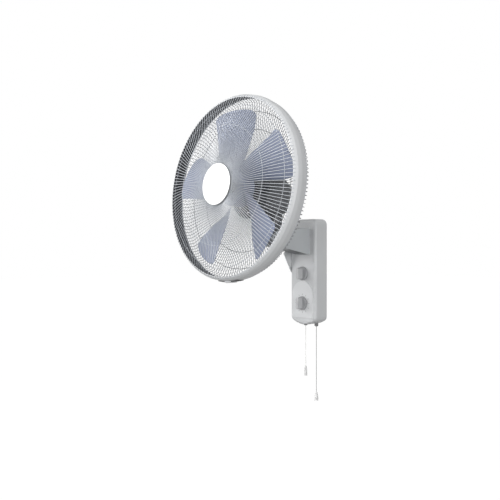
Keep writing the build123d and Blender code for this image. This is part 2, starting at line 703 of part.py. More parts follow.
hoop_radius = BLADE_TIP_RADIUS + HOOP_CLEARANCE + HOOP_WALL
front_rim_radius = hoop_radius - HOOP_BROW_DROP - HOOP_WALL
rear_rim_radius = hoop_radius - HOOP_REAR_DROP
front_bends = [(front_rim_radius - FRONT_KNEE_INSET, FRONT_KNEE), (FRONT_BEND_RADIUS, FRONT_BEND)]
centre_ring_front = FRONT_TOP + CENTRE_RING_HEIGHT / 2
front_path = [
    (front_rim_radius - RIM_RING_OVERLAP, FRONT_WIRE_FOOT),
    *front_bends,
    (CENTRE_RING_RADIUS - RIM_RING_OVERLAP, FRONT_TOP),
]
with BuildPart(FAN) as front_guard:
    with BuildSketch(FAN.offset(-HOOP_LIP)):
        add(ring_face(front_rim_radius, FRONT_RIM_RING_WIDTH))
    extrude(amount=-FRONT_RIM_RING_HEIGHT)
    with BuildSketch(FAN.offset(centre_ring_front)):
        add(ring_face(CENTRE_RING_RADIUS, CENTRE_RING_WIDTH))
    extrude(amount=-CENTRE_RING_HEIGHT)
    with PolarLocations(0, WIRE_COUNT):
        add(guard_wire(front_path))
finish(front_guard, "front_guard")
finish(cross_rings(front_bends), "front_guard_rings")

rear_shoulder_radius = rear_rim_radius - REAR_SHOULDER_INSET
rear_bends = [(rear_shoulder_radius, REAR_SHOULDER), (REAR_BEND_RADIUS, REAR_BEND)]
rear_ring_share = REAR_RING_INSET / (rear_shoulder_radius - REAR_BEND_RADIUS)
rear_ring_height = REAR_SHOULDER + (REAR_BEND - REAR_SHOULDER) * rear_ring_share
rear_rings = [(rear_shoulder_radius - REAR_RING_INSET, rear_ring_height), (REAR_BEND_RADIUS, REAR_BEND)]
rear_path = [
    (rear_rim_radius - RIM_RING_OVERLAP, -HOOP_WIDTH - REAR_RIM_RING_HEIGHT / 2),
    *rear_bends,
    (REAR_PLATE_RADIUS - RIM_RING_OVERLAP, MOTOR_FRONT + REAR_PLATE_HEIGHT / 2),
]
with BuildPart(FAN) as rear_guard:
    with BuildSketch(FAN.offset(-HOOP_WIDTH)):
        add(ring_face(rear_rim_radius, REAR_RIM_RING_WIDTH))
    extrude(amount=-REAR_RIM_RING_HEIGHT)
    with BuildSketch(FAN.offset(MOTOR_FRONT)):
        RegularPolygon(REAR_PLATE_RADIUS, RING_SIDES, rotation=RING_TURN)
        Circle(NOSE_RADIUS + SCREW_PLAY, mode=Mode.SUBTRACT)
        with PolarLocations(WINDOW_RADIUS, REAR_PLATE_WINDOWS):
            Rectangle(WINDOW_LENGTH, WINDOW_WIDTH, mode=Mode.SUBTRACT)
    extrude(amount=REAR_PLATE_HEIGHT)
    with PolarLocations(0, WIRE_COUNT):
        add(guard_wire(rear_path))
finish(rear_guard, "rear_guard")
finish(cross_rings(rear_rings), "rear_guard_rings")

with BuildPart() as hoop:
    with BuildSketch(HALF_SECTION):
        with BuildLine():
            Polyline(
                (hoop_radius - HOOP_LIP_DROP, -HOOP_LIP / 2),
                (hoop_radius - HOOP_CREST_DROP, 0),
                (hoop_radius - HOOP_BROW_DROP, -HOOP_LIP / 2),
                (hoop_radius - HOOP_SHOULDER_DROP, -HOOP_SHOULDER),
                (hoop_radius, -HOOP_MIDDLE),
                (rear_rim_radius, -HOOP_WIDTH),
                (rear_rim_radius - HOOP_WALL, -HOOP_WIDTH),
                (hoop_radius - HOOP_WALL, -HOOP_MIDDLE),
                (hoop_radius - HOOP_SHOULDER_DROP - HOOP_WALL, -HOOP_SHOULDER),
                (hoop_radius - HOOP_BROW_DROP - HOOP_WALL / 2, -HOOP_LIP),
                (hoop_radius - HOOP_LIP_DROP, -HOOP_LIP),
                close=True,
            )
        make_face()
    revolve(axis=FAN_AXIS)
finish(hoop, "hoop")


def hoop_outside(height):
    """Radius of the hoop's crowned outside at a height."""
    if height > -HOOP_MIDDLE:
        return hoop_radius - HOOP_SHOULDER_DROP * (height + HOOP_MIDDLE) / (HOOP_MIDDLE - HOOP_SHOULDER)
    return hoop_radius - HOOP_REAR_DROP * (height + HOOP_MIDDLE) / (HOOP_MIDDLE - HOOP_WIDTH)


def latch_piece(start_angle, span, thickness):
    """Piece that follows the hoop's outside over a short arc."""
    heights = (LATCH_FRONT, -HOOP_MIDDLE, LATCH_REAR)
    seat = [(hoop_outside(height) + SEAT_GAP, height) for height in heights]
    outside = [(radius + thickness, height) for radius, height in reversed(seat)]
    outward = FAN.x_dir * cos(radians(start_angle)) + FAN.y_dir * sin(radians(start_angle))
    with BuildPart() as piece:
        with BuildSketch(Plane(origin=RIM_CENTRE, x_dir=outward, z_dir=outward.cross(FORWARD))):
            with BuildLine():
                Polyline(*seat, *outside, close=True)
            make_face()
        revolve(axis=FAN_AXIS, revolution_arc=span)
    return piece


finish(latch_piece(LATCH_ANGLE - LATCH_SPAN / 2, LATCH_SPAN, LATCH_HEIGHT), "rim_latch")
left_pad = latch_piece(LATCH_ANGLE - LATCH_SPAN / 2 - LATCH_PAD_SPAN, LATCH_PAD_SPAN, LATCH_PAD_HEIGHT)
right_pad = latch_piece(LATCH_ANGLE + LATCH_SPAN / 2, LATCH_PAD_SPAN, LATCH_PAD_HEIGHT)
with BuildPart() as rim_latch_pads:
    add(left_pad.part)
    add(right_pad.part)
finish(rim_latch_pads, "rim_latch_pads")

centre_bore = CENTRE_RING_RADIUS - CENTRE_RING_WIDTH
with BuildPart() as badge_disc:
    with BuildSketch(FAN.offset(centre_ring_front)):
        Circle(BADGE_RADIUS)
    extrude(amount=BADGE_HEIGHT)
    chamfer(badge_disc.edges().sort_by(FAN_AXIS)[-1], BADGE_CHAMFER)
    with BuildSketch(FAN.offset(centre_ring_front)):
        Circle(centre_bore - BADGE_PLAY)
    extrude(amount=-CENTRE_RING_HEIGHT)
finish(badge_disc, "badge_disc")

with BuildPart() as badge_backplate:
    with BuildSketch(FAN.offset(centre_ring_front - CENTRE_RING_HEIGHT)):
        Circle(CENTRE_RING_RADIUS)
    extrude(amount=-BADGE_PLATE_HEIGHT)
finish(badge_backplate, "badge_backplate")


# ================================== Impeller =====================================================
def fan_point(radius, angle):
    """Point of the fan's plane at a radius and at an angle from the blade's tip direction."""
    return (radius * cos(radians(angle)), radius * sin(radians(angle)))


# A section of the blade's plate: radius, width, depth along the axis, and angle from the tip.
BLADE_STATIONS = (
    (36.0, 36.0, 35.0, 17.0),
    (80.0, 64.0, 37.0, 10.0),
    (128.0, 98.0, 36.0, 2.0),
    (BLADE_TIP_RADIUS + BLADE_TRIM, 144.0, 34.0, -2.0),
)
# The planform's edges: radius and angle from the tip, from inside the hub outwards.
BLADE_ROOT = HUB_RADIUS - HUB_WALL - BLADE_RUN_IN
LEADING_EDGE = ((BLADE_ROOT, -1.0), (120.0, -17.5), (BLADE_TIP_RADIUS, -21.5))
TRAILING_EDGE = ((BLADE_ROOT, 39.0), (120.0, 22.5), (BLADE_TIP_RADIUS, 17.5))


def blade_section(width, depth):
    """Cambered plate section with its leading edge low and to the left."""
    rise = BLADE_CAMBER * width
    half_width, half_depth, skin = width / 2, depth / 2, BLADE_THICKNESS / 2
    with BuildSketch() as section:
        with BuildLine():
            ThreePointArc((-half_width, -half_depth - skin), (0, rise - skin), (half_width, half_depth - skin))
            Line((half_width, half_depth - skin), (half_width, half_depth + skin))
            ThreePointArc((half_width, half_depth + skin), (0, rise + skin), (-half_width, -half_depth + skin))
            Line((-half_width, -half_depth + skin), (-half_width, -half_depth - skin))
        make_face()
    return section.sketch


def blade():
    """One blade about the fan axis as local Z: a twisted plate trimmed to its planform."""
    with BuildPart() as vane:
        for radius, width, depth, angle in BLADE_STATIONS:
            outward = Vector(1, 0, 0).rotate(Axis.Z, angle)
            along = Vector(0, 1, 0).rotate(Axis.Z, angle)
            with BuildSketch(Plane(outward * radius + Vector(0, 0, BLADE_MIDDLE), x_dir=along, z_dir=outward)):
                add(blade_section(width, depth))
        loft()
        with BuildSketch(Plane.XY.offset(2 * BLADE_MIDDLE)) as planform:
            with BuildLine():
                ThreePointArc(*[fan_point(*station) for station in LEADING_EDGE])
                ThreePointArc(
                    fan_point(*LEADING_EDGE[-1]),
                    (BLADE_TIP_RADIUS, 0),
                    fan_point(*TRAILING_EDGE[-1]),
                )
                ThreePointArc(*[fan_point(*station) for station in reversed(TRAILING_EDGE)])
                Line(fan_point(*TRAILING_EDGE[0]), fan_point(*LEADING_EDGE[0]))
            make_face()
            fillet(planform.vertices().sort_by(SortBy.DISTANCE)[-2:], BLADE_TIP_CORNER)
        extrude(amount=-2 * BLADE_MIDDLE, mode=Mode.INTERSECT)
    return vane.part


with BuildPart(FAN) as impeller:
    with BuildSketch(FAN.offset(HUB_REAR)):
        Circle(HUB_RADIUS)
    extrude(amount=HUB_FRONT - HUB_REAR)
    with PolarLocations(0, BLADE_COUNT, start_angle=BLADE_TIP_ANGLE):
        add(blade())
    with BuildSketch(FAN.offset(HUB_REAR)):
        Circle(HUB_RADIUS - HUB_WALL)
        Circle(HUB_BOSS_RADIUS, mode=Mode.SUBTRACT)
    extrude(amount=HUB_FRONT - HUB_WALL - HUB_REAR, mode=Mode.SUBTRACT)
    with BuildSketch(FAN.offset(HUB_REAR)):
        Circle(SHAFT_RADIUS)
    extrude(amount=HUB_FRONT - HUB_REAR, mode=Mode.SUBTRACT)
finish(impeller, "impeller")

with BuildPart() as blade_nut:
    with BuildSketch(HALF_SECTION):
        with BuildLine():
            Polyline(
                (SHAFT_RADIUS, HUB_FRONT),
                (BLADE_NUT_RADIUS, HUB_FRONT),
                (BLADE_NUT_NOSE, BLADE_NUT_FRONT),
                (0, BLADE_NUT_FRONT),
                (0, SHAFT_FRONT),
                (SHAFT_RADIUS, SHAFT_FRONT),
                close=True,
            )
        make_face()
    revolve(axis=FAN_AXIS)
finish(blade_nut, "blade_nut")

with BuildPart() as motor_shaft:
    with BuildSketch(FAN.offset(SHAFT_REAR)):
        Circle(SHAFT_RADIUS)
    extrude(amount=SHAFT_FRONT - SHAFT_REAR)
finish(motor_shaft, "motor_shaft")

with BuildPart() as rotor:
    with BuildSketch(FAN.offset(STATOR_REAR)):
        Circle(STATOR_BORE_RADIUS - ROTOR_GAP)
        Circle(SHAFT_RADIUS, mode=Mode.SUBTRACT)
    extrude(amount=STATOR_FRONT - STATOR_REAR)
finish(rotor, "rotor")

# ================================== Motor ========================================================
motor_bolt_places = GridLocations(MOTOR_BOLT_SPACING, MOTOR_BOLT_SPACING, 2, 2)

with BuildPart() as motor_front_cover:
    with BuildSketch(FAN.offset(MOTOR_SPLIT)):
        Circle(MOTOR_RADIUS)
    extrude(amount=MOTOR_FRONT - MOTOR_SPLIT)
    with BuildSketch(FAN.offset(MOTOR_SPLIT)):
        Circle(MOTOR_RADIUS - MOTOR_WALL)
    extrude(amount=MOTOR_FRONT - MOTOR_WALL - MOTOR_SPLIT, mode=Mode.SUBTRACT)
    with BuildSketch(FAN.offset(MOTOR_FRONT)):
        Circle(NOSE_RADIUS + SCREW_PLAY)
        with PolarLocations(FRONT_VENT_RADIUS, MOTOR_VENTS):
            Rectangle(VENT_LENGTH, VENT_WIDTH)
    extrude(amount=-MOTOR_WALL, mode=Mode.SUBTRACT)
finish(motor_front_cover, "motor_front_cover")

tail_inner = MOTOR_TAIL_RADIUS - MOTOR_WALL
with BuildPart() as motor_rear_cover:
    with BuildSketch(HALF_SECTION):
        with BuildLine():
            Polyline(
                (0, MOTOR_SPLIT),
                (MOTOR_RADIUS, MOTOR_SPLIT),
                (MOTOR_RADIUS, MOTOR_SHOULDER),
                (MOTOR_TAIL_RADIUS, MOTOR_REAR),
                (0, MOTOR_REAR),
                close=True,
            )
        make_face()
    revolve(axis=FAN_AXIS)
    with BuildSketch(HALF_SECTION):
        with BuildLine():
            Polyline(
                (0, MOTOR_SPLIT),
                (MOTOR_RADIUS - MOTOR_WALL, MOTOR_SPLIT),
                (MOTOR_RADIUS - MOTOR_WALL, MOTOR_SHOULDER),
                (tail_inner, MOTOR_REAR + MOTOR_WALL),
                (0, MOTOR_REAR + MOTOR_WALL),
                close=True,
            )
        make_face()
    revolve(axis=FAN_AXIS, mode=Mode.SUBTRACT)
    with BuildSketch(FAN.offset(MOTOR_REAR)):
        with PolarLocations(REAR_VENT_RADIUS, MOTOR_VENTS):
            Rectangle(VENT_LENGTH, VENT_WIDTH)
    extrude(amount=MOTOR_WALL, mode=Mode.SUBTRACT)
    with BuildSketch(NECK.offset(AXIS_HEIGHT + BOSS_FOOT)):
        Circle(BOSS_RADIUS)
    extrude(amount=BOSS_TOP - BOSS_FOOT)
    with BuildSketch(NECK.offset(AXIS_HEIGHT + BOSS_FOOT)):
        Circle(SWING_PIN_RADIUS + RUNNING_FIT)
    extrude(amount=BOSS_TOP - BOSS_FOOT, mode=Mode.SUBTRACT)
finish(motor_rear_cover, "motor_rear_cover")


def end_bracket(front, nose_front):
    """Cast end bracket: a square plate on the four bolts, and a boss bored for its bearing."""
    rear = front - BRACKET_HEIGHT
    with BuildPart() as bracket:
        with BuildSketch(FAN.offset(rear)):
            Rectangle(STATOR_SIZE, STATOR_SIZE)
            with motor_bolt_places:
                Circle(MOTOR_BOLT_RADIUS + SCREW_PLAY, mode=Mode.SUBTRACT)
        extrude(amount=BRACKET_HEIGHT)
        with BuildSketch(FAN.offset(rear)):
            Circle(NOSE_RADIUS)
        extrude(amount=nose_front - rear)
        with BuildSketch(FAN.offset(rear)):
            Circle(BEARING_RADIUS)
        extrude(amount=nose_front - rear, mode=Mode.SUBTRACT)
    return bracket


rear_boss_front = BRACKET_REAR + BEARING_LENGTH - BRACKET_HEIGHT
finish(end_bracket(BRACKET_FRONT, NOSE_FRONT), "front_bracket")
finish(end_bracket(BRACKET_REAR, rear_boss_front), "rear_bracket")


def sleeve_bearing(rear):
    """Sintered bush that the shaft turns in, pressed into its bracket."""
    with BuildPart() as bush:
        with BuildSketch(FAN.offset(rear)):
            Circle(BEARING_RADIUS)
            Circle(SHAFT_RADIUS + RUNNING_FIT, mode=Mode.SUBTRACT)
        extrude(amount=BEARING_LENGTH)
    return bush


finish(sleeve_bearing(BRACKET_FRONT - BRACKET_HEIGHT), "front_bearing")
finish(sleeve_bearing(BRACKET_REAR - BRACKET_HEIGHT), "rear_bearing")

with BuildPart() as stator:
    with BuildSketch(FAN.offset(STATOR_REAR)):
        Rectangle(STATOR_SIZE, STATOR_SIZE)
        Circle(STATOR_BORE_RADIUS, mode=Mode.SUBTRACT)
        with motor_bolt_places:
            Circle(MOTOR_BOLT_RADIUS + SCREW_PLAY, mode=Mode.SUBTRACT)
    extrude(amount=STATOR_FRONT - STATOR_REAR)
finish(stator, "stator")

with BuildPart() as stator_windings:
    with BuildSketch(FAN.offset(STATOR_FRONT + COIL_REACH), FAN.offset(STATOR_REAR)):
        RegularPolygon(COIL_RADIUS, COIL_SIDES)
        Circle(STATOR_BORE_RADIUS, mode=Mode.SUBTRACT)
    extrude(amount=-COIL_REACH)
finish(stator_windings, "stator_windings")

bolt_rear = BRACKET_REAR - BRACKET_HEIGHT
with BuildPart() as motor_bolts:
    with BuildSketch(FAN.offset(bolt_rear)):
        with motor_bolt_places:
            Circle(MOTOR_BOLT_RADIUS)
    extrude(amount=BRACKET_FRONT - bolt_rear)
    with BuildSketch(FAN.offset(BRACKET_FRONT), FAN.offset(bolt_rear - BRACKET_HEIGHT)):
        with motor_bolt_places:
            RegularPolygon(2 * MOTOR_BOLT_RADIUS, HEX_SIDES)
    extrude(amount=BRACKET_HEIGHT)
finish(motor_bolts, "motor_bolts")

with BuildPart() as guard_nut:
    with BuildSketch(FAN.offset(MOTOR_FRONT + REAR_PLATE_HEIGHT)):
        Circle(GUARD_NUT_RADIUS)
        Circle(NOSE_RADIUS, mode=Mode.SUBTRACT)
    extrude(amount=GUARD_NUT_HEIGHT)
finish(guard_nut, "guard_nut")

with BuildPart() as swing_motor:
    with BuildSketch(NECK.offset(pin_top + MOVING_GAP)):
        Circle(SWING_MOTOR_RADIUS)
    extrude(amount=SWING_MOTOR_HEIGHT)
finish(swing_motor, "swing_motor")
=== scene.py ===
"""Looks of the wall mounted fan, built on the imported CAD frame.

The scene is in metres in the row frame: the wall is the plane Y = 0, the fan blows towards -Y and +Z
is up. The head's pieces are worked out as (radius, angle, height) about the fan axis: height runs
along the axis from the hoop's front rim, positive ahead of it, and angle runs from +X towards the
head's upward direction, anticlockwise when seen from the front. The sizes of the hoop, the guards,
their centre, the impeller and the dial marks are written in millimetres.
"""

import json
import logging
from collections.abc import Sequence
from dataclasses import dataclass
from enum import Enum
from math import pi, radians, tau

import bmesh
import bpy
import numpy as np
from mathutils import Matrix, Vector
from numpy.typing import NDArray


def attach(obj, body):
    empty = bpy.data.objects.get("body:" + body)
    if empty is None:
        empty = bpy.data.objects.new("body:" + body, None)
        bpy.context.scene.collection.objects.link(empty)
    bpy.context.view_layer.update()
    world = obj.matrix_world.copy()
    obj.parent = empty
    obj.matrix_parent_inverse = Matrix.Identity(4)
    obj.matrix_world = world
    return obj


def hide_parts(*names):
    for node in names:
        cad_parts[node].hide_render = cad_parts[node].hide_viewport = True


Array = NDArray[np.float64]
Faces = NDArray[np.int64]
Triple = tuple[float, float, float]
Colour = Triple
Corners = tuple[tuple[float, float], ...]
Socket = bpy.types.NodeSocket
Number = float | Socket

MM = 0.001
SAME_POINT = 0.001 * MM  # points closer than this are merged
CREASE = 38.0  # degrees from which an edge stays sharp, unless a piece says otherwise
NOISE_LOW, NOISE_HIGH = 0.3, 0.7  # range that Blender's noise mostly keeps to
EVEN = (1.0, 1.0, 1.0)  # a pattern that isn't stretched
log = logging.getLogger("wall_fan")

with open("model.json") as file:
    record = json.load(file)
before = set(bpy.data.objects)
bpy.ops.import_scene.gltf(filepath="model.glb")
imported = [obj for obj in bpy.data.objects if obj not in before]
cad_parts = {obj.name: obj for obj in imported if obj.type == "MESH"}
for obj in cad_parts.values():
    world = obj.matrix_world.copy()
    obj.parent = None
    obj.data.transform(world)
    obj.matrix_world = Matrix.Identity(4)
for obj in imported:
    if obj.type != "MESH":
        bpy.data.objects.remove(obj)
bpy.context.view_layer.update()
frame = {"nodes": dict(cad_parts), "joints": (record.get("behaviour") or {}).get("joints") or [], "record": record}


# ================================== Shader graphs ================================================
class Graph:
    """A node tree with short ways to add and join its nodes."""

    def __init__(self, tree: bpy.types.NodeTree) -> None:
        """Wrap the tree and forget what it holds."""
        self.tree = tree
        self.tree.nodes.clear()

    def add(self, kind: str, **settings: object) -> bpy.types.Node:
        """Add a node and set its own options.

        Args:
            kind: Blender's name of the node type.
            settings: options of the node, by name.

        Returns:
            The new node.
        """
        node = self.tree.nodes.new(kind)
        for name, value in settings.items():
            setattr(node, name, value)
        return node

    def feed(self, value: Number, socket: Socket) -> None:
        """Link a socket to an input, or write a plain value into it.

        Args:
            value: the socket or the value.
            socket: the input that takes it.
        """
        if isinstance(value, Socket):
            self.tree.links.new(value, socket)
        else:
            socket.default_value = value

    def maths(self, operation: str, *numbers: Number) -> Socket:
        """Combine numbers.

        Args:
            operation: Blender's name of the operation.
            numbers: the numbers or sockets that it takes, in order.

        Returns:
            The result's socket.
        """
        node = self.add("ShaderNodeMath", operation=operation)
        for number, socket in zip(numbers, node.inputs):
            self.feed(number, socket)
        return node.outputs[0]

    def spread(self, value: Number, low: float, high: float, start: float, end: float) -> Socket:
        """Carry a value from the range low..high to start..end, clamped.

        Args:
            value: the number or socket to carry over.
            low: where the first range starts.
            high: where the first range ends.
            start: result at low.
            end: result at high.

        Returns:
            The result's socket.
        """
        node = self.add("ShaderNodeMapRange")
        for number, socket in zip((value, low, high, start, end), node.inputs):
            self.feed(number, socket)
        return node.outputs[0]

    def mix(self, factor: Number, first: object, second: object, blend: str = "MIX") -> Socket:
        """Mix two colours.

        Args:
            factor: share of the second colour.
            first: first colour or socket.
            second: second colour or socket.
            blend: Blender's name of the blend type.

        Returns:
            The mixed colour's socket.
        """
        node = self.add("ShaderNodeMix", data_type="RGBA", blend_type=blend)
        factor_socket, first_socket, second_socket = node.inputs[0], node.inputs[6], node.inputs[7]
        self.feed(factor, factor_socket)
        self.feed(first, first_socket)
        self.feed(second, second_socket)
        return node.outputs[2]

    def grey(self, value: Number) -> Socket:
        """Make a grey from a number.

        Args:
            value: number or socket that all three channels take.

        Returns:
            The grey's socket.
        """
        node = self.add("ShaderNodeCombineColor")
        for channel in node.inputs:
            self.feed(value, channel)
        return node.outputs[0]

    def noise(self, scale: Number, detail: float = 3.0, stretch: Triple = EVEN) -> Socket:
        """Noise over the piece's own coordinates.

        Args:
            scale: lumps per metre.
            detail: octaves of finer noise.
            stretch: factors on the three coordinates.

        Returns:
            The noise value's socket, about 0.3 to 0.7.
        """
        place = self.add("ShaderNodeTexCoord")
        turn = self.add("ShaderNodeMapping")
        turn.inputs["Scale"].default_value = stretch
        self.feed(place.outputs["Object"], turn.inputs["Vector"])
        node = self.add("ShaderNodeTexNoise")
        self.feed(turn.outputs["Vector"], node.inputs["Vector"])
        self.feed(scale, node.inputs["Scale"])
        node.inputs["Detail"].default_value = detail
        return node.outputs[0]

    def wander(self, scale: float, detail: float, stretch: Triple = EVEN) -> Socket:
        """The same noise, carried to -1 to 1."""
        return self.spread(self.noise(scale, detail, stretch), NOISE_LOW, NOISE_HIGH, -1.0, 1.0)

    def tinted(self, colour: Socket, wander: Socket, share: Socket) -> Socket:
        """Let a colour wander.

        Args:
            colour: the colour's socket.
            wander: socket of a noise from -1 to 1.
            share: how much of the colour it may add or take.

        Returns:
            Socket of colour x (1 + share x wander).
        """
        shade = self.grey(self.maths("MULTIPLY_ADD", wander, share, 1.0))
        return self.mix(1.0, colour, shade, "MULTIPLY")

    def show(self, shader: Socket, output: str = "ShaderNodeOutputMaterial") -> None:
        """Join a shader to the tree's output."""
        self.feed(shader, self.add(output).inputs["Surface"])

    def principled(self, skin: bpy.types.Node, colour: Socket, relief: float) -> bpy.types.Node:
        """Add the Principled shader of a finish and join it to the output.

        Args:
            skin: node of the effect that gives the roughness and the height of the grain.
            colour: the base colour's socket.
            relief: height of the grain in metres.

        Returns:
            The shader's node.
        """
        bump = self.add("ShaderNodeBump")
        bump.inputs["Distance"].default_value = relief
        self.feed(skin.outputs["Height"], bump.inputs["Height"])
        shader = self.add("ShaderNodeBsdfPrincipled")
        self.feed(colour, shader.inputs["Base Color"])
        self.feed(skin.outputs["Roughness"], shader.inputs["Roughness"])
        self.feed(bump.outputs[0], shader.inputs["Normal"])
        self.show(shader.outputs[0])
        return shader


def new_material(name: str) -> tuple[bpy.types.Material, Graph]:
    """Start a material.

    Args:
        name: the material's name.

    Returns:
        The material and its empty graph.
    """
    made = bpy.data.materials.new(name)
    made.use_nodes = True
    return made, Graph(made.node_tree)


def new_group(name: str, inputs: dict[str, object], outputs: dict[str, str]) -> tuple[Graph, dict, dict]:
    """Start a shader node group with named inputs and outputs.

    Args:
        name: the group's name.
        inputs: default value of each input, a number or a colour, by name.
        outputs: Blender's socket type of each output, by name.

    Returns:
        The group's graph, its input sockets and its output sockets, both by name.
    """
    tree = bpy.data.node_groups.new(name, "ShaderNodeTree")
    for label, value in inputs.items():
        kind = "NodeSocketFloat" if isinstance(value, float) else "NodeSocketColor"
        socket = tree.interface.new_socket(label, in_out="INPUT", socket_type=kind)
        socket.default_value = value if isinstance(value, float) else (*value, 1.0)
    for label, kind in outputs.items():
        tree.interface.new_socket(label, in_out="OUTPUT", socket_type=kind)
    graph = Graph(tree)
    given = graph.add("NodeGroupInput")
    result = graph.add("NodeGroupOutput")
    return graph, {s.name: s for s in given.outputs}, {s.name: s for s in result.inputs}


class Effect(Enum):
    """Shader groups that several finishes share."""

    SKIN = "moulded_skin"
    WEAR = "worn_edge"
    METAL = "drawn_metal"

    def tree(self) -> bpy.types.NodeTree:
        """Find the group's node tree, or build it the first time it is asked for.

        Returns:
            The node tree.
        """
        made = bpy.data.node_groups.get(self.value)
        if made is None:
            {Effect.SKIN: skin_group, Effect.WEAR: wear_group, Effect.METAL: metal_group}[self]()
            made = bpy.data.node_groups[self.value]
        return made

    def place(self, graph: Graph, **inputs: object) -> bpy.types.Node:
        """Add the group to a material's graph.

        Args:
            graph: the material's graph.
            inputs: value or socket of each input, with underscores for spaces in its name.

        Returns:
            The group's node.
        """
        node = graph.add("ShaderNodeGroup", node_tree=self.tree())
        for label, value in inputs.items():
            graph.feed(value, node.inputs[label.replace("_", " ")])
        return node


def skin_group() -> None:
    """Even skin with slow mottling, patches of finer polish and a fine grain.

    Colour = base x (1 + mottle x slow noise); roughness = base + play x middle noise, both noises
    from -1 to 1; height is a fine noise plus a faint slow waviness.
    """
    mottle_lumps, patch_lumps, wave_lumps, wave_share = 16.0, 110.0, 35.0, 0.6
    graph, given, result = new_group(
        Effect.SKIN.value,
        {"Colour": (0.8, 0.8, 0.8), "Mottle": 0.04, "Grain": 900.0, "Roughness": 0.4, "Play": 0.06},
        {"Colour": "NodeSocketColor", "Roughness": "NodeSocketFloat", "Height": "NodeSocketFloat"},
    )
    slow = graph.wander(mottle_lumps, detail=2.0)
    graph.feed(graph.tinted(given["Colour"], slow, given["Mottle"]), result["Colour"])
    patches = graph.wander(patch_lumps, detail=4.0)
    rough = graph.maths("MULTIPLY_ADD", patches, given["Play"], given["Roughness"])
    graph.feed(rough, result["Roughness"])
    grain = graph.noise(given["Grain"], detail=2.0)
    waves = graph.maths("MULTIPLY", graph.noise(wave_lumps, detail=1.0), wave_share)
    graph.feed(graph.maths("ADD", grain, waves), result["Height"])


def wear_group() -> None:
    """Polish and soiling along edges.

    The mask is how far the bevelled normal turns away from the true one, broken up by noise and
    times the amount; the colour goes from the base to the worn colour by the mask.
    """
    reach, unworn_cosine, worn_cosine = 1.2 * MM, 0.99, 0.86
    break_lumps, break_low, break_high, least = 260.0, 0.38, 0.62, 0.25
    graph, given, result = new_group(
        Effect.WEAR.value,
        {"Colour": (0.8, 0.8, 0.8), "Worn": (0.9, 0.9, 0.9), "Amount": 0.5},
        {"Colour": "NodeSocketColor", "Mask": "NodeSocketFloat"},
    )
    bevel = graph.add("ShaderNodeBevel", samples=4)
    bevel.inputs["Radius"].default_value = reach
    true_normal = graph.add("ShaderNodeNewGeometry")
    dot = graph.add("ShaderNodeVectorMath", operation="DOT_PRODUCT")
    graph.feed(bevel.outputs[0], dot.inputs[0])
    graph.feed(true_normal.outputs["Normal"], dot.inputs[1])
    edge = graph.spread(dot.outputs["Value"], unworn_cosine, worn_cosine, 0.0, 1.0)
    broken = graph.spread(graph.noise(break_lumps, detail=4.0), break_low, break_high, least, 1.0)
    mask = graph.maths("MULTIPLY", graph.maths("MULTIPLY", edge, broken), given["Amount"])
    graph.feed(graph.mix(mask, given["Colour"], given["Worn"]), result["Colour"])
    graph.feed(mask, result["Mask"])


def metal_group() -> None:
    """Drawn or cast metal: long streaks over a fine grain.

    Colour = base x (1 + play x streaks); roughness = base + play x streaks, with streaks from -1
    to 1; height is the grain.
    """
    streak_lumps, streak_stretch = 260.0, (0.15, 1.0, 1.0)
    graph, given, result = new_group(
        Effect.METAL.value,
        {"Colour": (0.6, 0.6, 0.6), "Grain": 600.0, "Roughness": 0.35, "Play": 0.12},
        {"Colour": "NodeSocketColor", "Roughness": "NodeSocketFloat", "Height": "NodeSocketFloat"},
    )
    streaks = graph.wander(streak_lumps, detail=3.0, stretch=streak_stretch)
    graph.feed(graph.tinted(given["Colour"], streaks, given["Play"]), result["Colour"])
    rough = graph.maths("MULTIPLY_ADD", streaks, given["Play"], given["Roughness"])
    graph.feed(rough, result["Roughness"])
    graph.feed(graph.noise(given["Grain"], detail=3.0), result["Height"])


# ================================== Finishes =====================================================
@dataclass(frozen=True)
class Plastic:
    """Moulded or powder-coated finish.

    Attributes:
        slot: the record's material slot.
        colour: linear base colour.
        worn: linear colour of rubbed edges.
        roughness: middle roughness.
        grain: grains per metre.
        relief: height of the grain in metres.
        mottle: share by which the colour wanders.
        wear: strength of the edge wear.
        coat: weight of the clear coat.
        coat_roughness: roughness of the clear coat.
        alpha: opacity.
    """

    slot: str
    colour: Colour
    worn: Colour
    roughness: float
    grain: float = 900.0
    relief: float = 0.00004
    mottle: float = 0.03
    wear: float = 0.5
    coat: float = 0.0
    coat_roughness: float = 0.12
    alpha: float = 1.0

    def material(self) -> bpy.types.Material:
        """Build the finish's material: skin, then wear, into one Principled shader.

        Returns:
            The material.
        """
        made, graph = new_material(self.slot)
        skin = Effect.SKIN.place(
            graph,
            Colour=(*self.colour, 1.0),
            Mottle=self.mottle,
            Grain=self.grain,
            Roughness=self.roughness,
        )
        wear = Effect.WEAR.place(
            graph, Colour=skin.outputs["Colour"], Worn=(*self.worn, 1.0), Amount=self.wear
        )
        shader = graph.principled(skin, wear.outputs["Colour"], self.relief)
        shader.inputs["Coat Weight"].default_value = self.coat
        shader.inputs["Coat Roughness"].default_value = self.coat_roughness
        shader.inputs["Alpha"].default_value = self.alpha
        return made


@dataclass(frozen=True)
class Metal:
    """Bare or plated metal.

    Attributes:
        slot: the record's material slot.
        colour: linear base colour.
        roughness: middle roughness.
        grain: grains per metre.
        relief: height of the grain in metres.
    """

    slot: str
    colour: Colour
    roughness: float
    grain: float = 700.0
    relief: float = 0.00003

    def material(self) -> bpy.types.Material:
        """Build the finish's material: streaked metal with a fine grain.

        Returns:
            The material.
        """
        made, graph = new_material(self.slot)
        metal = Effect.METAL.place(
            graph, Colour=(*self.colour, 1.0), Grain=self.grain, Roughness=self.roughness
        )
        shader = graph.principled(metal, metal.outputs["Colour"], self.relief)
        shader.inputs["Metallic"].default_value = 1.0
        return made


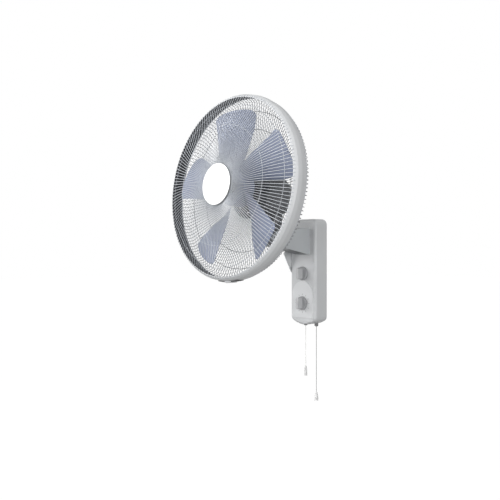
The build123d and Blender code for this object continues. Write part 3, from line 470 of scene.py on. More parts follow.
class Finish(Enum):
    """The finishes of the fan, by what they cover, some of them darker copies that paint shade; the first of a
    slot is the slot's own.
    """

    CASE = Plastic("light_grey_plastic", (0.535, 0.545, 0.555), (0.66, 0.67, 0.68), 0.42)
    # darker, bluer copy of the case grey: painted shade on the arm shell, which hangs under the head
    ARM = Plastic("light_grey_plastic", (0.43, 0.45, 0.465), (0.56, 0.58, 0.59), 0.42)
    # near-black copy of the case grey: painted shade on the arm's underside cover, where little light reaches
    UNDERSIDE = Plastic("light_grey_plastic", (0.13, 0.137, 0.145), (0.22, 0.225, 0.235), 0.5)
    PANEL = Plastic("panel_grey", (0.62, 0.63, 0.64), (0.5, 0.5, 0.5), 0.36)
    KNOB = Plastic("knob_grey", (0.47, 0.475, 0.485), (0.58, 0.585, 0.59), 0.38)
    # dark grey of the dial marks, also painted on the knobs' round bases as the shadow of their grips
    KNOB_BASE = Plastic("knob_grey", (0.30, 0.305, 0.315), (0.4, 0.405, 0.41), 0.38)
    # dark grey of the motor's parts, also used as painted shade inside the hoop and as a painted shadow round the
    # badge's rim
    MOTOR = Plastic("motor_grey", (0.068, 0.071, 0.077), (0.13, 0.13, 0.135), 0.46)
    WHITE = Plastic("white_plastic", (0.86, 0.86, 0.86), (0.8, 0.8, 0.8), 0.3, coat=0.2, mottle=0.01)
    WIRE = Plastic("white_wire", (0.43, 0.45, 0.48), (0.48, 0.48, 0.49), 0.3, wear=0.0)
    # much darker copy of the wire grey: painted shade on the rear wires, which face away from the lamps
    REAR_WIRE = Plastic("white_wire", (0.16, 0.165, 0.17), (0.2, 0.2, 0.2), 0.4, wear=0.0)
    PLATE = Plastic("white_wire", (0.08, 0.083, 0.088), (0.12, 0.12, 0.12), 0.45, wear=0.0)
    BLADE = Plastic("tinted_blade", (0.235, 0.27, 0.375), (0.32, 0.36, 0.47), 0.5, alpha=0.80)
    DARK = Plastic("dark_plastic", (0.03, 0.03, 0.032), (0.08, 0.08, 0.08), 0.5)
    INNER = Plastic("inner_plastic", (0.35, 0.35, 0.33), (0.45, 0.45, 0.43), 0.5)
    CORD = Plastic("white_cord", (0.80, 0.80, 0.78), (0.7, 0.7, 0.7), 0.75, grain=2500.0, wear=0.0)
    DARK_CORD = Plastic("white_cord", (0.33, 0.33, 0.33), (0.4, 0.4, 0.4), 0.75, grain=2500.0, wear=0.0)
    PULL = Plastic("white_plastic", (0.60, 0.60, 0.60), (0.7, 0.7, 0.7), 0.35)
    GLAND = Plastic("dark_plastic", (0.13, 0.13, 0.135), (0.2, 0.2, 0.2), 0.5)
    ZINC = Metal("zinc_steel", (0.56, 0.57, 0.58), 0.34)
    SCREW = Metal("screw_steel", (0.50, 0.50, 0.50), 0.3)
    STACK = Metal("lamination_steel", (0.30, 0.30, 0.31), 0.5, grain=2000.0)
    CAST = Metal("cast_aluminium", (0.60, 0.60, 0.61), 0.5, grain=450.0, relief=0.0001)
    BRONZE = Metal("sintered_bronze", (0.50, 0.33, 0.17), 0.5)
    COPPER = Metal("copper_wire", (0.72, 0.33, 0.17), 0.35)

    @classmethod
    def of_slot(cls, slot: str) -> "Finish":
        """The slot's own finish."""
        return next(finish for finish in cls if finish.value.slot == slot)

    def material(self) -> bpy.types.Material:
        """Find the finish's material, or build it the first time it is asked for.

        Returns:
            The material.
        """
        name = f"{self.name.lower()}_finish"
        made = bpy.data.materials.get(name)
        if made is None:
            made = self.value.material()
            made.name = name
        return made


class Body(Enum):
    """Bodies of the frame that new pieces ride on."""

    BOX = "wall_box"
    HEAD = "fan_head"
    ROTOR = "fan_rotor"
    SPEED = "speed_control"
    SWING = "swing_control"
    LEFT_PULL = "left_pull"
    RIGHT_PULL = "right_pull"


# ================================== Meshes =======================================================
def new_object(name: str, data: bpy.types.ID) -> bpy.types.Object:
    """Put new data into the scene.

    Args:
        name: the object's name.
        data: its mesh, curve, camera or lamp.

    Returns:
        The object.
    """
    made = bpy.data.objects.new(name, data)
    bpy.context.scene.collection.objects.link(made)
    return made


@dataclass(frozen=True)
class HeadFrame:
    """Directions of the tilted fan head.

    Attributes:
        centre: middle of the hoop's front rim.
        across: +X.
        upward: the head's upward direction, square to the fan axis.
        forward: the way the fan blows.
    """

    centre: Array
    across: Array
    upward: Array
    forward: Array

    @classmethod
    def from_joints(cls, joints: Sequence[dict]) -> "HeadFrame":
        """Read the fan axis from the joint that the impeller spins about.

        Args:
            joints: the frame's joints.

        Returns:
            The head's directions.
        """
        spin = next(joint for joint in joints if joint["name"] == "fan_spin")
        forward = np.array(spin["axis"], float)
        forward /= np.linalg.norm(forward)
        across = np.array((1.0, 0.0, 0.0))
        return cls(np.array(spin["pos_m"], float), across, np.cross(forward, across), forward)

    def place(self, radius: Array, angle: Array, height: Array) -> Array:
        """Points at radius, angle and height about the fan axis.

        Point = centre + radius (cos angle x across + sin angle x upward) + height x forward.

        Args:
            radius: distances from the axis.
            angle: angles in radians.
            height: distances ahead of the rim.

        Returns:
            Array of points, with a last dimension of 3.
        """
        radius, angle, height = np.broadcast_arrays(radius, angle, height)
        ring = np.cos(angle)[..., None] * self.across + np.sin(angle)[..., None] * self.upward
        return self.centre + radius[..., None] * ring + height[..., None] * self.forward


def grid_faces(rows: int, columns: int, wrap_rows: bool = False) -> Faces:
    """Quads of a grid of points that is stored row by row, with its last column joined to the first.

    Args:
        rows: number of rows.
        columns: number of columns.
        wrap_rows: whether the last row joins the first too.

    Returns:
        Array of quads.
    """
    row = np.arange(rows if wrap_rows else rows - 1)[:, None]
    column = np.arange(columns)[None, :]
    next_row, next_column = (row + 1) % rows, (column + 1) % columns
    corners = (
        row * columns + column,
        row * columns + next_column,
        next_row * columns + next_column,
        next_row * columns + column,
    )
    return np.stack(np.broadcast_arrays(*corners), axis=-1).reshape(-1, 4)


def copies(faces: Faces, count: int, stride: int) -> Faces:
    """The same faces for count copies whose points follow each other, stride points apart."""
    return (faces[None] + stride * np.arange(count)[:, None, None]).reshape(-1, faces.shape[1])


def turn_steps(count: int) -> Array:
    """Angles of count even steps of a full turn, from zero."""
    return np.linspace(0, tau, count, endpoint=False)


def rounded(corners: Corners, reach: float, steps: int = 4, closed: bool = False) -> Array:
    """Polyline with its corners rounded.

    Each inner corner becomes a quadratic arc that starts and ends reach away from it, or 0.49 of
    the side where that is less: point(t) = (1-t)^2 start + 2t(1-t) corner + t^2 end.

    Args:
        corners: the corner points.
        reach: distance from a corner at which its arc starts and ends.
        steps: points on each arc.
        closed: whether the polyline closes.

    Returns:
        Array of points.
    """
    points = np.array(corners, float)
    start, end = (
        points + side * np.minimum(reach / np.linalg.norm(side, axis=1, keepdims=True), 0.49)
        for side in (np.roll(points, 1, axis=0) - points, np.roll(points, -1, axis=0) - points)
    )
    t = np.linspace(0, 1, steps)[None, :, None]
    arcs = (1 - t) ** 2 * start[:, None] + 2 * t * (1 - t) * points[:, None] + t**2 * end[:, None]
    if closed:
        return arcs.reshape(-1, 2)
    return np.vstack((points[:1], arcs[1:-1].reshape(-1, 2), points[-1:]))


def piece(
    name: str,
    points: Array,
    faces: Faces,
    body: Body,
    finish: Finish,
    stands_for: Sequence[str] = (),
    crease: float = CREASE,
    caps: Faces | None = None,
) -> bpy.types.Object:
    """Make a finished piece from a grid of points.

    Doubled points are merged, which closes seams and poles, and the normals of the closed shells
    are turned outwards before anything is added to them.

    Args:
        name: the piece's name.
        points: array of points, with a last dimension of 3.
        faces: array of quads or triangles.
        body: what the piece rides on.
        finish: what it is covered with.
        stands_for: CAD nodes that it replaces.
        crease: angle in degrees from which an edge stays sharp.
        caps: end faces with more corners, if any.

    Returns:
        The piece's object.
    """
    mesh = bpy.data.meshes.new(name)
    loops = faces.tolist() + ([] if caps is None else caps.tolist())
    mesh.from_pydata(points.reshape(-1, 3).tolist(), [], loops)
    work = bmesh.new()
    work.from_mesh(mesh)
    bmesh.ops.remove_doubles(work, verts=work.verts, dist=SAME_POINT)
    bmesh.ops.recalc_face_normals(work, faces=work.faces)
    work.to_mesh(mesh)
    work.free()
    mesh.shade_smooth()
    mesh.set_sharp_from_angle(angle=radians(crease))
    mesh.materials.append(finish.material())
    made = new_object(name, mesh)
    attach(made, body.value)
    if stands_for:
        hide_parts(*stands_for)
    log.info("%s: %d faces on %s", name, len(mesh.polygons), body.value)
    return made


def dress(*nodes: str, finish: Finish | None = None) -> None:
    """Cover CAD nodes whose shape is right with a finish of their slot in the record.

    Args:
        nodes: names of the nodes.
        finish: another shade of their slot, where it isn't the slot's first finish.
    """
    slots = {part["node"]: part["material_slot"] for part in frame["record"]["subparts"]}
    for name in nodes:
        node = frame["nodes"][name]
        worn = finish or Finish.of_slot(slots[name])
        node.data.materials.clear()
        node.data.materials.append(worn.material())
        log.info("%s: dressed with %s", name, worn.name)


def turned_piece(
    name: str,
    head: HeadFrame,
    profile: Array,
    segments: int,
    body: Body,
    finish: Finish,
    stands_for: Sequence[str] = (),
    crease: float = CREASE,
) -> bpy.types.Object:
    """Turn a closed profile about the fan axis into a finished piece.

    Points: profile point k at angle 2 pi i / segments, for every i and k.

    Args:
        name: the piece's name.
        head: the fan axis.
        profile: (radius, height) points of the closed profile, in mm.
        segments: steps of the turn.
        body: what the piece rides on.
        finish: what it is covered with.
        stands_for: CAD nodes that it replaces.
        crease: angle in degrees from which an edge stays sharp.

    Returns:
        The piece's object.
    """
    radius, height = profile.T * MM
    points = head.place(radius[None], turn_steps(segments)[:, None], height[None])
    faces = grid_faces(segments, len(profile), wrap_rows=True)
    return piece(name, points, faces, body, finish, stands_for, crease)


def face_vectors(mesh: bpy.types.Mesh, kind: str) -> Array:
    """Read a vector of each face.

    Args:
        mesh: the mesh.
        kind: Blender's name of the vector, normal or center.

    Returns:
        Array of faces x 3.
    """
    values = np.empty(3 * len(mesh.polygons))
    mesh.polygons.foreach_get(kind, values)
    return values.reshape(-1, 3)


def outwardness(mesh: bpy.types.Mesh, head: HeadFrame) -> Array:
    """How far each face looks away from the fan axis: 1 straight outwards, -1 straight inwards.

    Args:
        mesh: a mesh turned about the fan axis.
        head: the fan axis.

    Returns:
        One number for each face: its normal times the direction away from the axis.
    """
    outward = face_vectors(mesh, "center") - head.centre
    outward -= (outward @ head.forward)[:, None] * head.forward
    outward /= np.maximum(np.linalg.norm(outward, axis=1, keepdims=True), SAME_POINT)
    return (face_vectors(mesh, "normal") * outward).sum(axis=1)


def line(mesh: bpy.types.Mesh, finish: Finish, chosen: NDArray[np.bool_]) -> None:
    """Give some faces of a mesh a second, darker finish that paints shade on them.

    Args:
        mesh: the mesh, with its first finish on it.
        finish: the second finish.
        chosen: for each face, whether it gets the second finish.
    """
    mesh.materials.append(finish.material())
    mesh.polygons.foreach_set("material_index", chosen.astype(np.int32))


def circle_profile(radius: float, height: float, thickness: float, sides: int) -> Array:
    """Round section of a ring.

    Args:
        radius: radius of the ring's middle line.
        height: height of the ring's middle line.
        thickness: radius of the section.
        sides: points round the section.

    Returns:
        (radius, height) points of the section.
    """
    turn = turn_steps(sides)
    return np.stack((radius + thickness * np.cos(turn), height + thickness * np.sin(turn)), axis=-1)


# ================================== Camera, floor and lamps ======================================
@dataclass(frozen=True)
class Lamp:
    """One soft square lamp.

    Attributes:
        name: the lamp's name.
        place: where it hangs.
        aim: the point it shines at.
        size: its side in metres.
        power: its power in watts.
    """

    name: str
    place: Triple
    aim: Triple
    size: float
    power: float

    def build(self) -> None:
        """Hang the lamp and turn it to its aim."""
        data = bpy.data.lights.new(self.name, "AREA")
        data.size = self.size
        data.energy = self.power
        made = new_object(self.name, data)
        made.location = self.place
        beam = Vector(self.aim) - Vector(self.place)
        made.rotation_euler = beam.to_track_quat("-Z", "Y").to_euler()


@dataclass(frozen=True)
class Studio:
    """Camera at the photograph's viewing angle, pale floor, white surroundings and soft lamps.

    Attributes:
        camera_place: where the camera stands.
        camera_turn: its turn about Z in degrees; it looks level.
        lens: focal length in mm.
        sensor: width of the camera's sensor in mm.
        sight: distance to which the camera sees.
        floor_height: the floor below the fan, as a wall fan hangs over it.
        floor_half: half the floor's side.
        floor_shades: darkest and lightest grey of the floor under the lamps.
        floor_glow: white that the floor shows to the camera.
        ambient: strength of the white world light.
        lamps: a large key lamp on the fan's left, one low in front of it, one high in front of
            it, and one level with it on its right.
    """

    camera_place: Triple = (1.342, -1.4816, 0.0573)
    camera_turn: float = 47.3
    lens: float = 52.96
    sensor: float = 36.0
    sight: float = 200.0
    floor_height: float = -1.25
    floor_half: float = 30.0
    floor_shades: tuple[float, float] = (0.06, 0.08)
    floor_glow: float = 0.97
    ambient: float = 0.50
    lamps: tuple[Lamp, ...] = (
        Lamp("key", (-2.3, -2.1, 0.9), (0.0, -0.1, 0.0), 1.6, 50.0),
        Lamp("front", (0.4, -3.0, -0.7), (0.0, 0.0, 0.0), 0.7, 32.0),
        Lamp("top", (0.0, -2.4, 2.0), (0.0, -0.2, 0.1), 0.8, 48.0),
        Lamp("side", (2.6, -0.6, 0.15), (0.0, -0.1, 0.0), 1.2, 31.0),
    )

    def camera(self) -> None:
        """Make the camera and give it to the scene."""
        data = bpy.data.cameras.new("camera")
        data.lens = self.lens
        data.sensor_width = self.sensor
        data.clip_end = self.sight
        made = new_object("camera", data)
        made.location = self.camera_place
        made.rotation_euler = (radians(90), 0.0, radians(self.camera_turn))
        bpy.context.scene.camera = made

    def floor(self) -> None:
        """Flat pale floor that shows white to the camera and still takes the fan's shadow."""
        half = self.floor_half
        side = np.array((-half, half))
        x, y = np.meshgrid(side, side, indexing="ij")
        points = np.stack((x, y, np.full_like(x, self.floor_height)), axis=-1)
        mesh = bpy.data.meshes.new("floor")
        mesh.from_pydata(points.reshape(-1, 3).tolist(), [], [(0, 2, 3, 1)])
        mesh.materials.append(self.floor_material())
        new_object("floor", mesh)

    def floor_material(self) -> bpy.types.Material:
        """Build the floor's material: matt to the lamps, with white added for camera, mirror and glass rays.

        Returns:
            The material.
        """
        made, graph = new_material("floor")
        path = graph.add("ShaderNodeLightPath")
        seen = graph.maths("MAXIMUM", path.outputs["Is Camera Ray"], path.outputs["Is Glossy Ray"])
        seen = graph.maths("MAXIMUM", seen, path.outputs["Is Transmission Ray"])
        speckle_lumps = 40.0
        speckle = graph.spread(graph.noise(speckle_lumps), NOISE_LOW, NOISE_HIGH, *self.floor_shades)
        matt = graph.add("ShaderNodeBsdfDiffuse")
        graph.feed(graph.grey(speckle), matt.inputs["Color"])
        glow = graph.add("ShaderNodeEmission")
        glow.inputs["Strength"].default_value = self.floor_glow
        both = graph.add("ShaderNodeAddShader")
        graph.feed(matt.outputs[0], both.inputs[0])
        graph.feed(glow.outputs[0], both.inputs[1])
        pick = graph.add("ShaderNodeMixShader")
        graph.feed(seen, pick.inputs[0])
        graph.feed(matt.outputs[0], pick.inputs[1])
        graph.feed(both.outputs[0], pick.inputs[2])
        graph.show(pick.outputs[0])
        return made

    def world(self) -> None:
        """White surroundings: full white to the camera and through glass, softer on the fan."""
        made = bpy.data.worlds.new("studio")
        made.use_nodes = True
        graph = Graph(made.node_tree)
        path = graph.add("ShaderNodeLightPath")
        seen = graph.maths("MAXIMUM", path.outputs["Is Camera Ray"], path.outputs["Is Transmission Ray"])
        strength = graph.spread(seen, 0.0, 1.0, self.ambient, 1.0)
        light = graph.add("ShaderNodeBackground")
        light.inputs["Color"].default_value = (1.0, 1.0, 1.0, 1.0)
        graph.feed(strength, light.inputs["Strength"])
        graph.show(light.outputs[0], "ShaderNodeOutputWorld")
        bpy.context.scene.world = made

    def build(self) -> None:
        """Make the whole studio."""
        bpy.context.scene.view_settings.view_transform = "Standard"
        self.camera()
        self.floor()
        self.world()
        for lamp in self.lamps:
            lamp.build()


# ================================== Pull cords ===================================================
@dataclass(frozen=True)
class PullCord:
    """Cord that hangs from the box's foot with its pull.

    Attributes:
        side: left or right, seen from the front.
        body: the body of the cord and its pull.
        finish: what the cord is covered with.
        x: how far to the side the cord hangs.
        foot: height at which it enters its pull.
        top: height at which it leaves its slider.
        y: how far in front of the wall the cord hangs, as a Y coordinate.
        thickness: radius of the cord.
    """

    side: str
    body: Body
    finish: Finish
    x: float
    foot: float
    top: float = -114.6 * MM
    y: float = -20.0 * MM
    thickness: float = 0.8 * MM

    def build(self) -> None:
        name = f"cord_{self.side}"
        curve = bpy.data.curves.new(name, "CURVE")
        curve.dimensions = "3D"
        curve.bevel_depth = self.thickness
        curve.bevel_resolution = 3
        curve.resolution_u = 24
        curve.use_fill_caps = True
        spline = curve.splines.new("NURBS")
        route = ((self.x, self.y, self.top), (self.x, self.y, self.foot))
        middle = tuple((a + b) / 2 for a, b in zip(*route))
        spline.points.add(2)
        for point, place in zip(spline.points, (route[0], middle, route[1])):
            point.co = (*place, 1.0)
        spline.order_u = 3
        spline.use_endpoint_u = True
        curve.materials.append(self.finish.material())
        made = new_object(name, curve)
        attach(made, self.body.value)
        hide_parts(f"pull_cord_{self.side}")
        dress(f"pull_{self.side}", finish=Finish.PULL)
        dress(f"pull_gland_{self.side}", finish=Finish.GLAND)
        dress(f"pull_slider_{self.side}", f"pull_switch_{self.side}")
        log.info("%s: %.0f mm long", name, (self.top - self.foot) / MM)


# ================================== Guards =======================================================
@dataclass(frozen=True)
class Hoop:
    """Outer ring of the head, with its rounded lip.

    Attributes:
        outline: (radius, height) corners of the section.
        corner: reach of the rounding at each corner.
        segments: steps round the axis.
        painted_shade_outwardness: outwardness below which a face is inside the hoop, and dark with painted shade.
        crease: angle in degrees from which an edge stays sharp.
    """

    outline: Corners = (
        (218.0, -3.5), (218.0, -0.6), (219.4, 0.0), (223.4, -3.4), (227.0, -8.5), (228.5, -20.0),
        (226.0, -36.0), (223.5, -36.0), (226.0, -20.0), (224.5, -9.0), (222.0, -5.0),
    )
    corner: float = 1.2
    segments: int = 240
    painted_shade_outwardness: float = -0.6
    crease: float = 50.0

    def build(self, head: HeadFrame) -> None:
        """Turn the rounded outline about the fan axis, paint shade on its inside and dress the latch.

        Args:
            head: the fan axis.
        """
        profile = rounded(self.outline, self.corner, closed=True)
        made = turned_piece(
            "hoop_ring", head, profile, self.segments, Body.HEAD, Finish.CASE, ["hoop"], self.crease
        )
        # painted shade: the hoop's inside faces take the motor's dark grey
        line(made.data, Finish.MOTOR, outwardness(made.data, head) < self.painted_shade_outwardness)
        dress("rim_latch", "rim_latch_pads")


@dataclass(frozen=True)
class WireGuard:
    """Dished guard of fine radial wires on a few rings.

    Attributes:
        name: front or rear.
        route: (radius, height) corners that each wire follows, from the rim inwards.
        bend: reach of the wire's bends.
        rings: (radius, height) of the cross rings' middle lines.
        rim: (radius, height) of the rim ring's middle line.
        rim_thickness: radius of the rim ring's section.
        stands_for: the CAD nodes of the guard and of its cross rings.
        finish: what the wires are covered with.
        wires: number of wires.
        wire: radius of a wire.
        wire_sides: points round a wire.
        bend_steps: points on each of a wire's bends.
        ring_wire: radius of a cross ring's section.
        ring_sides: points round a cross ring's section.
        rim_sides: points round the rim ring's section.
        rim_segments: steps of the rim ring round the axis.
    """

    name: str
    route: Corners
    bend: float
    rings: Corners
    rim: tuple[float, float]
    rim_thickness: float
    stands_for: tuple[str, str]
    finish: Finish
    wires: int = 156
    wire: float = 0.75
    wire_sides: int = 6
    bend_steps: int = 3
    ring_wire: float = 0.8
    ring_sides: int = 8
    rim_sides: int = 10
    rim_segments: int = 240

    def wire_points(self, head: HeadFrame) -> Array:
        """Points of all wires.

        Each route point gets a circle across the route: with the route's normal n in the plane of
        radius and height, a point is route + wire cos(turn) n, moved wire sin(turn) sideways.

        Args:
            head: the fan axis.

        Returns:
            Array of wires x route points x sides x 3.
        """
        route = rounded(self.route, self.bend, self.bend_steps)
        along = np.gradient(route, axis=0)
        along /= np.linalg.norm(along, axis=1, keepdims=True)
        normal = np.stack((-along[:, 1], along[:, 0]), axis=-1)
        turn = turn_steps(self.wire_sides)
        section = route[:, None] + self.wire * np.cos(turn)[None, :, None] * normal[:, None]
        sideways = self.wire * np.sin(turn)[None, :]
        radius = np.hypot(section[..., 0], sideways)
        lean = np.arctan2(sideways, section[..., 0])
        angle = turn_steps(self.wires)[:, None, None]
        return head.place(radius[None] * MM, angle + lean[None], section[None, ..., 1] * MM)

    def build(self, head: HeadFrame) -> None:
        """Make the wires, the cross rings and the rim ring.

        Args:
            head: the fan axis.
        """
        points = self.wire_points(head)
        _, stations, sides, _ = points.shape
        stride = stations * sides
        faces = copies(grid_faces(stations, sides), self.wires, stride)
        ends = np.array((range(sides), range(stride - sides, stride)))
        caps = copies(ends, self.wires, stride)
        wires_for = self.stands_for[:1]
        piece(f"{self.name}_wires", points, faces, Body.HEAD, self.finish, wires_for, caps=caps)
        for number, (radius, height) in enumerate(self.rings):
            name = f"{self.name}_cross_ring_{number}"
            profile = circle_profile(radius, height, self.ring_wire, self.ring_sides)
            rings_for = self.stands_for[1:] if number == 0 else ()
            turned_piece(name, head, profile, self.wires, Body.HEAD, self.finish, rings_for)
        name = f"{self.name}_rim_ring"
        profile = circle_profile(*self.rim, self.rim_thickness, self.rim_sides)
        turned_piece(name, head, profile, self.rim_segments, Body.HEAD, Finish.WIRE)


@dataclass(frozen=True)
class CentrePieces:
    """Middle of the two guards: centre ring and badge in front, slotted plate at the rear.

    Attributes:
        ring: (radius, height) corners of the centre ring's section.
        ring_corner: reach of the rounding at its corners.
        ring_segments: its steps round the axis.
        badge: (radius, height) corners of the bare badge disc's section.
        badge_corner: reach of the rounding at its edge.
        badge_segments: its steps round the axis.
        painted_shadow_rim: outwardness above which a face is the badge's rim, and dark with a painted shadow.
        plate_bore: radius of the rear plate's hole.
        plate_radius: radius of the rear plate.
        plate_front: height of the rear plate's front face.
        plate_thickness: its thickness.
        window_inner: radius at which its windows start.
        window_outer: radius at which they end.
        windows: number of windows.
        pitch: columns of the grid from one window to the next.
        window_columns: columns of the grid that a window takes.
        bands: rows of the grid inside the windows' radii, between them, and outside them.
    """

    ring: Corners = ((43.0, 29.8), (50.0, 29.8), (50.0, 33.0), (43.0, 33.0))
    ring_corner: float = 0.8
    ring_segments: int = 96
    badge: Corners = (
        (0.0, 29.8), (42.0, 29.8), (42.0, 33.0), (50.7, 33.0), (50.7, 36.0), (46.0, 36.6), (0.0, 36.9),
    )
    badge_corner: float = 1.2
    badge_segments: int = 128
    painted_shadow_rim: float = 0.75
    plate_bore: float = 15.7
    plate_radius: float = 68.0
    plate_front: float = -75.0
    plate_thickness: float = 3.0
    window_inner: float = 38.0
    window_outer: float = 54.0
    windows: int = 8
    pitch: int = 18
    window_columns: int = 6
    bands: int = 3

    def rear_plate(self, head: HeadFrame) -> None:
        """Flat ring with windows.

        Grid of radii x angles; in each pitch, the cells of the first columns between the windows'
        radii are left out, and the grid is turned back by half a window, so that the first window
        is centred on +X. Solidify gives the plate its thickness.

        Args:
            head: the fan axis.
        """
        columns = self.pitch * self.windows
        radii = np.concatenate(
            (
                np.linspace(self.plate_bore, self.window_inner, self.bands + 1),
                np.linspace(self.window_inner, self.window_outer, self.bands + 1)[1:],
                np.linspace(self.window_outer, self.plate_radius, self.bands + 1)[1:],
            )
        )
        angle = turn_steps(columns) - self.window_columns / 2 * tau / columns
        points = head.place(radii[:, None] * MM, angle[None], np.array(self.plate_front * MM))
        faces = grid_faces(len(radii), columns)
        row, column = np.divmod(np.arange(len(faces)), columns)
        in_window = (column % self.pitch < self.window_columns) & (row // self.bands == 1)
        made = piece("rear_plate", points, faces[~in_window], Body.HEAD, Finish.PLATE)
        wall = made.modifiers.new("thickness", "SOLIDIFY")
        wall.thickness = self.plate_thickness * MM
        wall.offset = -1.0

    def build(self, head: HeadFrame) -> None:
        """Make the centre ring, the badge with a painted shadow on its rim, and the rear plate.

        Args:
            head: the fan axis.
        """
        ring = rounded(self.ring, self.ring_corner, steps=3, closed=True)
        turned_piece("front_centre_ring", head, ring, self.ring_segments, Body.HEAD, Finish.WIRE)
        disc = rounded(self.badge, self.badge_corner)
        made = turned_piece(
            "badge", head, disc, self.badge_segments, Body.HEAD, Finish.WHITE, ["badge_disc"]
        )
        # painted shadow: the badge's rim faces take the motor's dark grey, a thin dark outline
        line(made.data, Finish.MOTOR, outwardness(made.data, head) > self.painted_shadow_rim)
        self.rear_plate(head)
        dress("badge_backplate", "guard_nut")


# ================================== Impeller =====================================================
@dataclass(frozen=True)
class Impeller:
    """Five swept blades on a hub, moulded in one tinted piece.

    Attributes:
        blades: number of blades.
        tip_angle: direction of the first blade's tip in degrees.
        root: radius inside the hub's wall at which the blades start.
        tip: radius of the blade tips.
        tip_corner: how far the rounded corners draw the tip in.
        corner_share: share of the tip's half width that each corner takes.
        thickness: thickness of the plate.
        middle: height of the blades' middle.
        leading: (radius, degrees from the tip) of the leading edge.
        trailing: (radius, degrees from the tip) of the trailing edge.
        stations: (radius, width, depth along the axis, degrees from the tip) of the plate.
        camber: rise of a section's arc as a share of its width.
        fade: power of the thickness's fading; the higher, the nearer to the root and the tip.
        rows: rows of a blade's grid from the root to the tip.
        columns: points round a blade's plate.
        hub: (radius, height) corners of the hub's section.
        hub_corner: reach of the rounding at its corners.
        hub_segments: its steps round the axis.
    """

    blades: int = 5
    tip_angle: float = 24.6
    root: float = 41.0
    tip: float = 195.0
    tip_corner: float = 12.0
    corner_share: float = 0.28
    thickness: float = 2.2
    middle: float = -28.0
    leading: Corners = ((38.0, -1.0), (120.0, -17.0), (195.0, -18.0))
    trailing: Corners = ((38.0, 39.0), (120.0, 22.5), (195.0, 17.5))
    stations: tuple[tuple[float, float, float, float], ...] = (
        (36.0, 36.0, 35.0, 17.0),
        (80.0, 64.0, 37.0, 10.0),
        (128.0, 98.0, 36.0, 2.0),
        (199.0, 144.0, 34.0, -2.0),
    )
    camber: float = 0.06
    fade: int = 40
    rows: int = 36
    columns: int = 56
    hub: Corners = (
        (4.0, -14.0), (44.0, -14.0), (44.0, -50.0), (40.0, -50.0), (40.0, -18.0), (10.0, -18.0),
        (10.0, -50.0), (4.0, -50.0),
    )
    hub_corner: float = 1.5
    hub_segments: int = 96

    @staticmethod
    def edge_angle(edge: Corners, radius: Array) -> Array:
        """Angle of an edge at each radius, in degrees: the parabola through its three points."""
        return np.polyval(np.polyfit(*np.array(edge).T, 2), radius)

    def blade_points(self, head: HeadFrame) -> Array:
        """Points of all blades.

        A blade is a closed loop of columns round its plate, for rows from the root to the tip. The
        loop's chord share is t = (1 - cos turn) / 2. The radius runs from the root to an outline
        whose corners are quarter ellipses. With q from -1 to 1 over the station's width, the height
        is middle + q depth / 2 + camber width (1 - q^2), plus or minus half the thickness x
        sin(turn)^(1/3), which rounds the edges; the thickness dies away at the root and the tip.

        Args:
            head: the fan axis.

        Returns:
            Array of blades x rows x columns x 3.
        """
        out = np.sin(np.linspace(0, pi / 2, self.rows))[:, None]
        turn = turn_steps(self.columns)[None]
        chord = (1 - np.cos(turn)) / 2
        beyond = np.clip((np.abs(2 * chord - 1) - (1 - self.corner_share)) / self.corner_share, 0, 1)
        outline = self.tip - self.tip_corner * (1 - np.sqrt(1 - beyond**2))
        radius = self.root + out * (outline - self.root)
        lead = self.edge_angle(self.leading, radius)
        trail = self.edge_angle(self.trailing, radius)
        angle = lead + chord * (trail - lead)
        station = np.array(self.stations)
        width, depth, middle_angle = (
            np.interp(radius, station[:, 0], station[:, column]) for column in (1, 2, 3)
        )
        q = 2 * radius * np.tan(np.radians(angle - middle_angle)) / width
        height = self.middle + q * depth / 2 + self.camber * width * (1 - q**2)
        skin = np.sign(np.sin(turn)) * np.abs(np.sin(turn)) ** (1 / 3)
        fade = np.sqrt(1 - np.abs(2 * out - 1) ** self.fade)
        height = height + self.thickness / 2 * skin * fade
        first = self.tip_angle + 360 / self.blades * np.arange(self.blades)[:, None, None]
        return head.place(radius[None] * MM, np.radians(angle[None] + first), height[None] * MM)

    def build(self, head: HeadFrame) -> None:
        """Make the blades and the hub, and dress the nut.

        Args:
            head: the fan axis.
        """
        points = self.blade_points(head)
        faces = copies(grid_faces(self.rows, self.columns), self.blades, self.rows * self.columns)
        piece("blades", points, faces, Body.ROTOR, Finish.BLADE, ["impeller"])
        hub = rounded(self.hub, self.hub_corner, closed=True)
        turned_piece("hub", head, hub, self.hub_segments, Body.ROTOR, Finish.BLADE)
        dress("blade_nut")


# ================================== Box, arm and motor ===========================================
@dataclass(frozen=True)
class Knob:
    """Control knob: its CAD shape, with the round base under its grip in a darker shade that paints the grip's
    shadow.

    Attributes:
        node: the knob's node.
        body: what the knob turns with.
        base_depth: thickness of the round base, and a little more to take in its front face.
    """

    node: str
    body: Body
    base_depth: float = 5.05 * MM

    def build(self) -> None:
        """Copy the node's triangles, merge them and paint the grip's shadow on the faces within the base's depth.
        """
        source = frame["nodes"][self.node].data
        source.calc_loop_triangles()
        points = np.empty(3 * len(source.vertices))
        corners = np.empty(3 * len(source.loop_triangles), np.int32)
        source.vertices.foreach_get("co", points)
        source.loop_triangles.foreach_get("vertices", corners)
        triangles = corners.reshape(-1, 3)
        made = piece(f"{self.node}_grip", points, triangles, self.body, Finish.KNOB, [self.node])
        base_front = points[1::3].max() - self.base_depth
        # painted shadow: the grip's shadow on the round base under it
        line(made.data, Finish.KNOB_BASE, face_vectors(made.data, "center")[:, 1] > base_front)


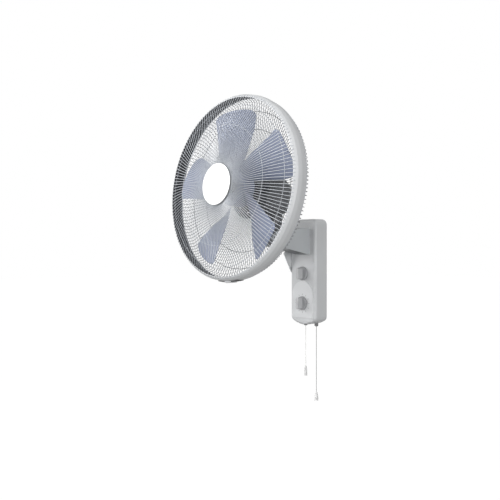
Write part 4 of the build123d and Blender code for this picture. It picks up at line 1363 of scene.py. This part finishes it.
@dataclass(frozen=True)
class DialMarks:
    """Raised marks on the control panel, round the lower knob.

    Attributes:
        height: height of the knob's axis.
        face: distance of the panel's face from the wall.
        radius: distance of the marks' middles from the axis.
        count: number of marks in the full turn.
        half_sizes: half of a mark's length, width and thickness.
        rows: rows of a mark's grid from its rear to its front.
        columns: points round a mark.
    """

    height: float = -84.0
    face: float = 54.0
    radius: float = 23.6
    count: int = 12
    half_sizes: Triple = (2.4, 0.9, 0.3)
    rows: int = 7
    columns: int = 14

    def build(self) -> None:
        """Make the marks, each a flat ellipsoid whose rear half is sunk in the panel.

        Its points are the middle + half length x cos v x cos u along the dial's radius + half
        width x cos v x sin u across it + half thickness x sin v out of the panel, with u round
        the mark and v from its rear to its front.
        """
        v = np.linspace(-pi / 2, pi / 2, self.rows)[None, :, None]
        u = turn_steps(self.columns)[None, None]
        turn = turn_steps(self.count)[:, None, None]
        length, width, thickness = self.half_sizes
        along = self.radius + length * np.cos(v) * np.cos(u)
        across = width * np.cos(v) * np.sin(u)
        x = along * np.sin(turn) + across * np.cos(turn)
        y = -self.face - thickness * np.sin(v)
        z = self.height + along * np.cos(turn) - across * np.sin(turn)
        points = np.stack(np.broadcast_arrays(x, y, z), axis=-1) * MM
        faces = copies(grid_faces(self.rows, self.columns), self.count, self.rows * self.columns)
        piece("dial_marks", points, faces, Body.BOX, Finish.KNOB_BASE)


@dataclass(frozen=True)
class WallBox:
    """Wall box with its plate, arm and controls, whose CAD shapes are right."""

    def build(self) -> None:
        """Dress the box's, the arm's and the controls' nodes."""
        dress("wall_plate", "plate_screws", "rear_housing", "front_housing", "capacitor")
        # the arm shell gets a darker copy of the case grey as painted shade
        dress("arm_shell", finish=Finish.ARM)
        # painted shade: the arm's underside cover is near-black
        dress("arm_cover", finish=Finish.UNDERSIDE)
        dress("arm_screws", "hinge_bolt", "hinge_nut", "hinge_washers")
        dress("control_panel", "speed_spindle", "speed_switch", "swing_spindle", "swing_switch")
        DialMarks().build()
        Knob("speed_knob", Body.SPEED).build()
        Knob("swing_knob", Body.SWING).build()


@dataclass(frozen=True)
class Motor:
    """Motor, neck and swing drive, whose CAD shapes are right."""

    def build(self) -> None:
        """Dress the motor's and the neck's nodes."""
        dress("neck", "swing_pin", "swing_collar", "swing_motor")
        dress("motor_front_cover", "motor_rear_cover", "motor_bolts", "motor_shaft")
        dress("front_bracket", "rear_bracket", "front_bearing", "rear_bearing")
        dress("stator", "stator_windings", "rotor")


def main() -> None:
    """Build the studio, the cords and then each sub-assembly."""
    logging.basicConfig(level=logging.INFO, format="%(name)s: %(message)s")
    head = HeadFrame.from_joints(frame["joints"])
    Studio().build()
    PullCord("left", Body.LEFT_PULL, Finish.CORD, x=-19.4 * MM, foot=-256.0 * MM).build()
    PullCord("right", Body.RIGHT_PULL, Finish.DARK_CORD, x=19.4 * MM, foot=-322.0 * MM).build()
    Hoop().build(head)
    WireGuard(
        "front",
        route=((223.4, -3.0), (219.4, 0.4), (199.0, 8.5), (146.0, 25.0), (46.5, 31.4)),
        bend=16.0,
        rings=((199.0, 6.4), (146.0, 23.2)),
        rim=(220.2, -2.2),
        rim_thickness=1.2,
        wire=0.74,
        ring_wire=0.5,
        stands_for=("front_guard", "front_guard_rings"),
        finish=Finish.WIRE,
    ).build(head)
    WireGuard(
        "rear",
        route=((224.0, -38.0), (219.5, -51.0), (153.0, -64.0), (62.0, -76.0)),
        bend=5.0,
        rings=((153.0, -61.8), (195.0, -54.0)),
        rim=(224.6, -37.0),
        rim_thickness=1.3,
        stands_for=("rear_guard", "rear_guard_rings"),
        # the rear wires carry a darker copy of the wire grey as painted shade
        finish=Finish.REAR_WIRE,
    ).build(head)
    CentrePieces().build(head)
    Impeller().build(head)
    WallBox().build()
    Motor().build()
    shown = sorted(name for name, node in frame["nodes"].items() if not node.hide_render)
    log.info("%d CAD nodes are shown: %s", len(shown), ", ".join(shown))


if __name__ == "__main__":
    main()
